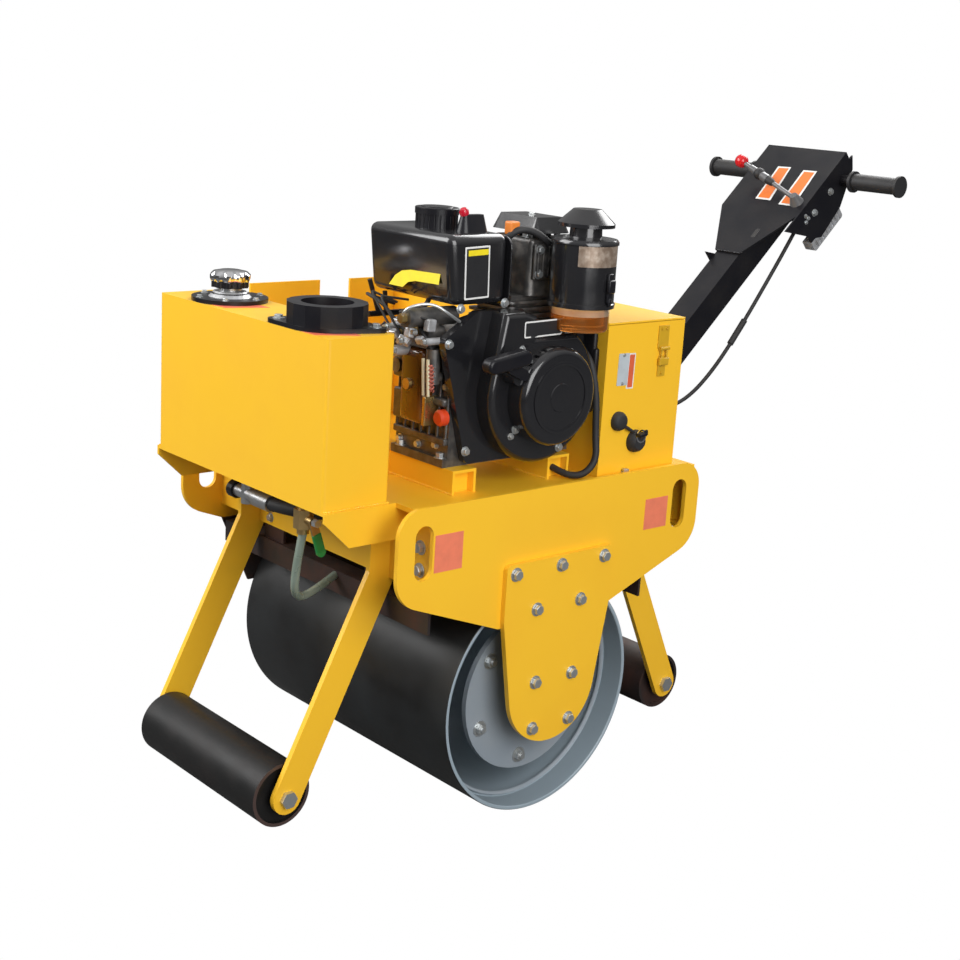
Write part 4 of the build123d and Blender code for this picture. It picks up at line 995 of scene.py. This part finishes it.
            tube(f"pump_wire_{i + 1}", [start, rise, middle, fall, end], 4, rubber())
        assemble("cover_tabs", brass(), [
            (add_box, level_axes, (199, -216, 694), (207, case_front, 742), 1.5),
            (add_rod, (168, -226, 758), (168, -219, 758), 9)])
        # The front cover's brown and orange are a painted reflection of the yellow paint around it.
        assemble("front_cover", cover_black_with_painted_reflection(), [
            (add_box, level_axes, (142, -220, 694), (201, -188, 819), 11)], smooth=True)
        bolts("foot_bolts", [(x, y, 642) for x in (118, 220) for y in (-190, 80)], (0, 0, 1), 7, 7)

    def dress_cleaner(self):
        """The air cleaner's bands, neck, blank label and clip, the bowl's hoop, and the duct below them."""
        x, y = 288, 40
        body = seat((x, y, 893), (0, 0, 1), (1, 0, 0))
        shoulder = ((54.2, 99), (56, 100), (56, 104), (53, 108), (34, 110), (27, 111), (26, 130))
        assemble("cleaner_bands", black_paint(), [
            (add_lathe, body, ((50, -3), (56.4, -3), (56.4, 4), (54.4, 5)), 56),
            (add_lathe, body, shoulder, 56)], smooth=True)
        mesh = bmesh.new()
        foil = arc(0, 0, 54.6, -55, 34, 16)
        low, high = ([mesh.verts.new(body @ (Vector((*point, z)) * mm)) for point in foil] for z in (66, 104))
        for i in range(len(foil) - 1):
            mesh.faces.new((low[i], low[i + 1], high[i + 1], high[i]))
        piece("cleaner_label", mesh, bronze_print())
        bowl = seat((x, y, 850), (0, 0, 1))
        assemble("bowl_hoop", zinc(), [
            (add_lathe, bowl, ((0, -6), (6, -6), (6, -1), (14, 0.4), (14, 1)), 24),
            (add_lathe, bowl, ((47, 40), (50.4, 40), (50.4, 44), (47, 44)), 48)], smooth=True)
        turn = math.radians(8)
        outward = Vector((math.cos(turn), math.sin(turn), 0))
        clip = seat(Vector((x, y, 925)) + 53 * outward, outward, (0, 0, 1))
        assemble("cleaner_clip", satin_black(), [
            (add_box, clip, (-24, -7, 0), (24, 7, 6), 2.5), (add_box, clip, (-8, -9, 3), (14, 9, 10), 3),
            (add_box, clip, (-30, -4, 1), (-16, 4, 7), 2)], smooth=True)
        assemble("shroud_duct", satin_black(), [
            (add_box, level_axes, (200, 92.5, 700), (276, 103.6, 850), 5),
            (add_box, level_axes, (236, 93, 740), (281, 103.6, 812), 4)], smooth=True)

    def dress_head(self):
        """The rocker cover's bolts and breather pipe, and the ribbed flange of the cylinder head."""
        bolts("rocker_bolts", [(x, y, 992) for y in (-2, 70) for x in (150, 190)], (0, 0, 1), 6, 5)
        assemble("hose_clip", plain_colour("Orange plastic", (0.85, 0.25, 0.04)), [
            (add_box, level_axes, (192, -54, 998), (210, -34, 1020), 3)])
        tube("breather_pipe", [
            (170, -20, 960), (172, -44, 966), (200, -58, 990), (214, -40, 1010), (226, -8, 1004),
            (232, 14, 985),
        ], 12, rubber())
        boss = seat((223, 20, 955), (1, 0.1, 0))
        ribs = [(add_box, level_axes, (head_face - 4, y, 930), (head_face + 4, y + 4, 980), 1.5)
                for y in range(-10, 51, 12)]
        assemble("head_flange", dark_casting(), [
            (add_lathe, boss, ((17, 0), (17, 6), (10, 8), (10, 12), (0, 12))),
            (add_box, level_axes, (222, -14, 925), (head_face, 60, 985), 3), *ribs])
        bolts("head_bolts", [(head_face, y, z) for y, z in ((-4, 935), (-4, 975), (50, 935))],
              (1, 0, 0), 6, 6)
        bolts("muffler_screws", [(165, 32, 1026)], (0, 0, 1), 5, 3)


class ROLLER_OT_finish_handle(bpy.types.Operator):
    """Finish the handle, its head and its grips"""

    bl_idname = "roller.finish_handle"
    bl_label = "Finish handle"

    def execute(self, context):
        paint(satin_black(), "handle_arm", "handle_head", "handle_bar")
        paint(rubber(), "handle_grips")
        paint(plain_colour("Gunmetal", (0.12, 0.12, 0.125), 0.25, 0.4), "control_lever")
        paint(cast_aluminium(), "head_housing")
        self.widen_flange()
        self.dress_lever()
        self.lay_stripes()
        side, cheek = (1, 0, 0), 102.5
        bolts("head_side_bolts", [on_handle(s, 2, cheek) for s in (768, 705)], side, 6, 5, body="handle")
        bolts("head_side_screws", [
            on_handle(s, a, cheek) for s, a in ((680, 16), (674, 4), (684, 6))], side, 3.5, 3, body="handle")
        top = seat(on_handle(600, 34.1, 34), handle_up, handle_along)
        assemble("head_slot", rubber(), [(add_plate, top, rounded(26, 11, 4), 0.2)], "handle")
        sleeve = assemble("cable_sleeve", rubber(), [
            (add_rod, on_handle(452, -68, 60), on_handle(392, -76, 60), 6.5)], "handle")
        held_cord("throttle_line", [
            on_handle(along, above, x) for along, above, x in (
                (690, -8, 74), (628, -31, 66), (555, -49, 62), (475, -65, 60), (395, -77, 60),
                (320, -84, 58), (250, -81, 54), (198, -63, 46), (164, -38, 36))
        ], 8, rubber(), "throttle_cable", "handle")
        welds("handle_welds", [
            (on_handle(541, 33, -30), on_handle(541, 33, 30)),
            (on_handle(545, 32, 34), on_handle(575, 32, 48)),
        ], 2, satin_black(), "handle")
        return {"FINISHED"}

    def widen_flange(self):
        """The near flange's lower corner beside the cable's exit."""
        near = seat(on_handle(0, 0, 99), (1, 0, 0), handle_along)
        outline = [(614, 35), (676, 34), (865, 14), (850, -11), (776, -49), (695, -58), (679, -46)]
        assemble("near_flange", satin_black(), [(add_plate, near, outline, 3.6)], "handle")

    def dress_lever(self):
        """The control lever's ball and rubber boot."""
        foot, tip = on_handle(698, 44, 75), on_handle(750, 82, -85)
        rod = seat(foot, tip - foot, handle_along)
        length = (tip - foot).length
        assemble("lever_ball", plain_colour("Red ball", (0.62, 0.012, 0.018), 0.12, 0.22), [
            (add_lathe, rod, arc(0, length, 14.4, -88, 90, 20), 36)], "handle", smooth=True)
        middle = 0.66 * length
        sleeve = [(6, middle - 46), (8, middle - 40), (9.5, middle - 22), (9, middle - 14)]
        boot = sleeve + arc(0, middle, 12.5, -50, 70, 10) + [(5.2, middle + 16)]
        assemble("lever_boot", rubber(), [(add_lathe, rod, boot)], "handle", smooth=True)

    def lay_stripes(self):
        """The two blank stripes on the handle's head, each a field on its border."""
        orange = plain_colour("Orange print", (0.85, 0.2, 0.03))
        for name, corners in (("far", ((792, -36), (793.5, -2), (694, 9), (694, -31))),
                              ("near", ((789, 33), (790, 68), (686, 75), (686, 35.5)))):
            corners = [Vector(corner) for corner in corners]
            middle = sum(corners, Vector((0, 0))) / 4
            for what, lift, inset, material in (
                ("stripe_border", 34.5, Vector((0, 0)), white_print()),
                ("stripe", 34.9, Vector((0.09, 0.26)), orange),
            ):
                mesh = bmesh.new()
                places = [corner + (middle - corner) * inset for corner in corners]
                mesh.faces.new([mesh.verts.new(spot(*on_handle(p.x, lift, p.y))) for p in places])
                piece(f"{name}_{what}", mesh, material, body="handle")


class ROLLER_OT_fit_box(bpy.types.Operator):
    """Fit the box's latch, switches, blank plate and foot tabs"""

    bl_idname = "roller.fit_box"
    bl_label = "Fit box"

    def execute(self, context):
        self.fit_latch()
        self.fit_switches()
        outward, run = (1, 0, 0), (0, 1, -0.02)
        for what, lift, y, z, width, height, material, thick in (
            ("plate", 0, 147, 775, 26, 56, plain_colour("Pale plate", (0.5, 0.55, 0.58)), 0.8),
            ("plate_edge", 0, 167, 771, 17, 62, white_print(), 0.4),
            ("plate_band", 0.3, 167, 771, 12, 57, plain_colour("Orange red print", (0.72, 0.13, 0.05)), 0.4),
        ):
            label(f"box_{what}", (box_face + lift, y, z), outward, run, width, height, material, 1, thick)
        bolts("plate_screws", [(box_face + 0.8, 147, z) for z in (800, 750)], outward, 2.2, 1.5)
        tab = deck_top + 4
        assemble("box_tabs", body_paint(), [
            (add_box, level_axes, (x, 148, deck_top), (x + 20, 186, tab), 1) for x in (-314, 294)])
        bolts("tab_bolts", [(side * 304, 167, tab) for side in (-1, 1)], (0, 0, 1), 6, 6)
        return {"FINISHED"}

    def fit_latch(self):
        """The lid's toggle latch with its rivets, in a darker copy of the box's yellow that paints the shade
        in its gaps.
        """
        near = seat((box_face, 0, 0), (1, 0, 0), (0, 1, 0))
        hook = box_face + 5
        # A darker copy of the box's yellow: painted shade for the latch's shadow and gaps, also on its
        # rivets.
        latch_shaded_yellow = plain_colour("Latch yellow with painted shade", (0.62, 0.36, 0.015), 0.3, 0.42)
        assemble("box_latch", latch_shaded_yellow, [
            (add_box, near, (229, 806, 0), (255, 846, 2.5), 1),
            (add_box, near, (233, 756, 0), (252, 792, 2.5), 1),
            (add_rod, (hook, 231, 806), (hook, 254, 806), 3.4),
            (add_rod, (hook, 236, 806), (hook + 1, 236, 778), 1.7),
            (add_rod, (hook, 249, 806), (hook + 1, 249, 778), 1.7),
            (add_box, near, (231, 776, 2), (254, 790, 8), 2)])
        heads = ((236, 840), (248, 840), (242, 762))
        bolts("latch_rivets", [(box_face + 2.5, y, z) for y, z in heads], (1, 0, 0), 2.5, 2,
              latch_shaded_yellow)

    def fit_switches(self):
        """The rubber switch cap, and the key switch with its ring and key."""
        outward, front, strap = (1, 0, 0), box_face + 14, box_face + 6
        cap = ((17, 0), (17, 5), (14, 11), (10, 13), (0, 14))
        boot = ((20, 0), (20, 4), (17, 12), (13, 16), (0, 16))
        assemble("switch_caps", rubber(), [
            (add_lathe, seat((box_face, 144, 685), outward), cap),
            (add_lathe, seat((box_face, 190, 645), outward), boot),
            (add_rod, (strap, 152, 678), (strap, 182, 662), 3.4, 2.6)], smooth=True)
        assemble("switch_ring", chrome(), [
            (add_lathe, seat((front, 191, 656), outward), ((12, 0), (12, 2.4), (9.5, 2.4), (9.5, 0)))])
        key = seat((front, 191, 660), outward, (0, 1, 0.15))
        assemble("switch_key", satin_black(), [
            (add_box, key, (-13, -3, 0), (5, 4, 12), 2), (add_box, key, (1, -2, 6), (8, 8, 11), 2)])


class ROLLER_OT_fit_bolts(bpy.types.Operator):
    """Fit the bolts of the drum brackets"""

    bl_idname = "roller.fit_bolts"
    bl_label = "Fit bolts"

    def execute(self, context):
        rows = ((458, (-104, 0, 102)), (388, (-51, 51)), (255, (-43, 43)), (170, (-43, 43)))
        for side, name in ((1, "left_bracket_bolts"), (-1, "right_bracket_bolts")):
            places = [(side * bracket_face, y, z) for z, ys in rows for y in ys]
            bolts(name, places, (side, 0, 0), 9, 8)
        return {"FINISHED"}


class ROLLER_OT_set_stage(bpy.types.Operator):
    """Set the floor, the lamps, the surround and the camera"""

    bl_idname = "roller.set_stage"
    bl_label = "Set stage"

    def execute(self, context):
        stage = context.scene.roller_stage
        self.lay_floor()
        self.hang_lamp("Key lamp", (-1.6, -2.6, 2.9), 2.6, stage.key)
        self.hang_lamp("Fill lamp", (3.2, -0.6, 1.9), 2.4, stage.fill)
        self.hang_lamp("Back lamp", (-0.6, 2.8, 2.6), 2.2, stage.fill)
        self.light_room(context, stage.sky)
        self.place_camera(context, stage)
        return {"FINISHED"}

    def lay_floor(self):
        """A pale floor that shows white to the camera."""
        mesh = bmesh.new()
        bmesh.ops.create_grid(mesh, x_segments=1, y_segments=1, size=12)
        bmesh.ops.translate(mesh, verts=mesh.verts, vec=(0, 0, cad_low.z))
        data = bpy.data.meshes.new("Floor")
        mesh.to_mesh(data)
        mesh.free()
        floor = bpy.data.objects.new("Floor", data)
        bpy.context.scene.collection.objects.link(floor)
        made = bpy.data.materials.new("Pale floor")
        made.use_nodes = True
        tree = made.node_tree
        shader = tree.nodes["Principled BSDF"]
        shader.inputs["Base Color"].default_value = (0.1, 0.1, 0.1, 1)
        shader.inputs["Roughness"].default_value = 0.9
        shader.inputs["Specular IOR Level"].default_value = 0.0
        light = tree.nodes.new("ShaderNodeEmission")
        light.inputs["Color"].default_value = (1, 1, 1, 1)
        path = tree.nodes.new("ShaderNodeLightPath")
        blend = tree.nodes.new("ShaderNodeMixShader")
        for source, target in (
            (path.outputs["Is Camera Ray"], blend.inputs["Fac"]), (shader.outputs["BSDF"], blend.inputs[1]),
            (light.outputs["Emission"], blend.inputs[2]),
            (blend.outputs["Shader"], tree.nodes["Material Output"].inputs["Surface"]),
        ):
            tree.links.new(source, target)
        data.materials.append(made)

    def hang_lamp(self, name, place, size, power):
        """A large square lamp that faces the machine's middle."""
        data = bpy.data.lights.new(name, "AREA")
        data.size = size
        data.energy = power
        lamp = bpy.data.objects.new(name, data)
        bpy.context.scene.collection.objects.link(lamp)
        middle = (cad_low + cad_high) / 2
        lamp.location = place
        lamp.rotation_euler = (Vector(place) - middle).to_track_quat("Z", "Y").to_euler()

    def light_room(self, context, sky):
        """A room that is brighter above than below, and plain white behind the machine."""
        world = context.scene.world or bpy.data.worlds.new("Room")
        context.scene.world = world
        world.use_nodes = True
        tree = world.node_tree
        tree.nodes.clear()
        path = tree.nodes.new("ShaderNodeLightPath")
        seen = math_node(tree, "MAXIMUM", path.outputs["Is Camera Ray"], path.outputs["Is Transmission Ray"])
        height = split(tree, tree.nodes.new("ShaderNodeTexCoord").outputs["Generated"])["Z"]
        room = map_range(tree, height, -0.1, 0.8, 0.25, 1.5)
        strength = mix_value(tree, seen, math_node(tree, "MULTIPLY", room, sky), 1.0)
        shade = tree.nodes.new("ShaderNodeBackground")
        shade.inputs["Color"].default_value = (1, 1, 1, 1)
        tree.links.new(strength, shade.inputs["Strength"])
        out = tree.nodes.new("ShaderNodeOutputWorld")
        tree.links.new(shade.outputs["Background"], out.inputs["Surface"])

    def place_camera(self, context, stage):
        """The photograph's camera."""
        sensor, target, distance = 36, Vector((0.0523, 0.0827, 0.5268)), 2.87
        data = bpy.data.cameras.new("Camera")
        data.lens = stage.lens
        data.sensor_width = sensor
        data.clip_end = 100
        camera = bpy.data.objects.new("Camera", data)
        context.scene.collection.objects.link(camera)
        back = Vector((
            math.sin(stage.azimuth) * math.cos(stage.elevation),
            -math.cos(stage.azimuth) * math.cos(stage.elevation),
            math.sin(stage.elevation),
        ))
        turn = back.to_track_quat("Z", "Y").to_matrix().to_4x4() @ Matrix.Rotation(stage.roll, 4, "Z")
        camera.matrix_world = Matrix.Translation(target + back * distance) @ turn
        context.scene.camera = camera
        context.scene.view_settings.view_transform = "Standard"


class ROLLER_PT_finish(bpy.types.Panel):
    """Lists the operators in the sidebar"""

    bl_idname = "ROLLER_PT_finish"
    bl_label = "Road roller"
    bl_space_type = "VIEW_3D"
    bl_region_type = "UI"
    bl_category = "Road roller"

    def draw(self, context):
        for settings in (context.scene.roller_paint, context.scene.roller_stage):
            box = self.layout.box()
            for setting in settings.__annotations__:
                box.prop(settings, setting)
        for operator in operators:
            self.layout.operator(operator.bl_idname)


operators = (
    ROLLER_OT_paint_frame,
    ROLLER_OT_paint_drum,
    ROLLER_OT_fit_tank,
    ROLLER_OT_finish_engine,
    ROLLER_OT_finish_handle,
    ROLLER_OT_fit_box,
    ROLLER_OT_fit_bolts,
    ROLLER_OT_set_stage,
)
classes = (RollerPaint, RollerStage, *operators, ROLLER_PT_finish)


def register():
    for cls in classes:
        bpy.utils.register_class(cls)
    bpy.types.Scene.roller_paint = PointerProperty(type=RollerPaint)
    bpy.types.Scene.roller_stage = PointerProperty(type=RollerStage)


def unregister():
    del bpy.types.Scene.roller_stage
    del bpy.types.Scene.roller_paint
    for cls in reversed(classes):
        bpy.utils.unregister_class(cls)


def main():
    register()
    bpy.ops.roller.paint_frame()
    bpy.ops.roller.paint_drum()
    bpy.ops.roller.fit_tank()
    bpy.ops.roller.finish_engine()
    bpy.ops.roller.finish_handle()
    bpy.ops.roller.fit_box()
    bpy.ops.roller.fit_bolts()
    bpy.ops.roller.set_stage()


if __name__ == "__main__":
    main()
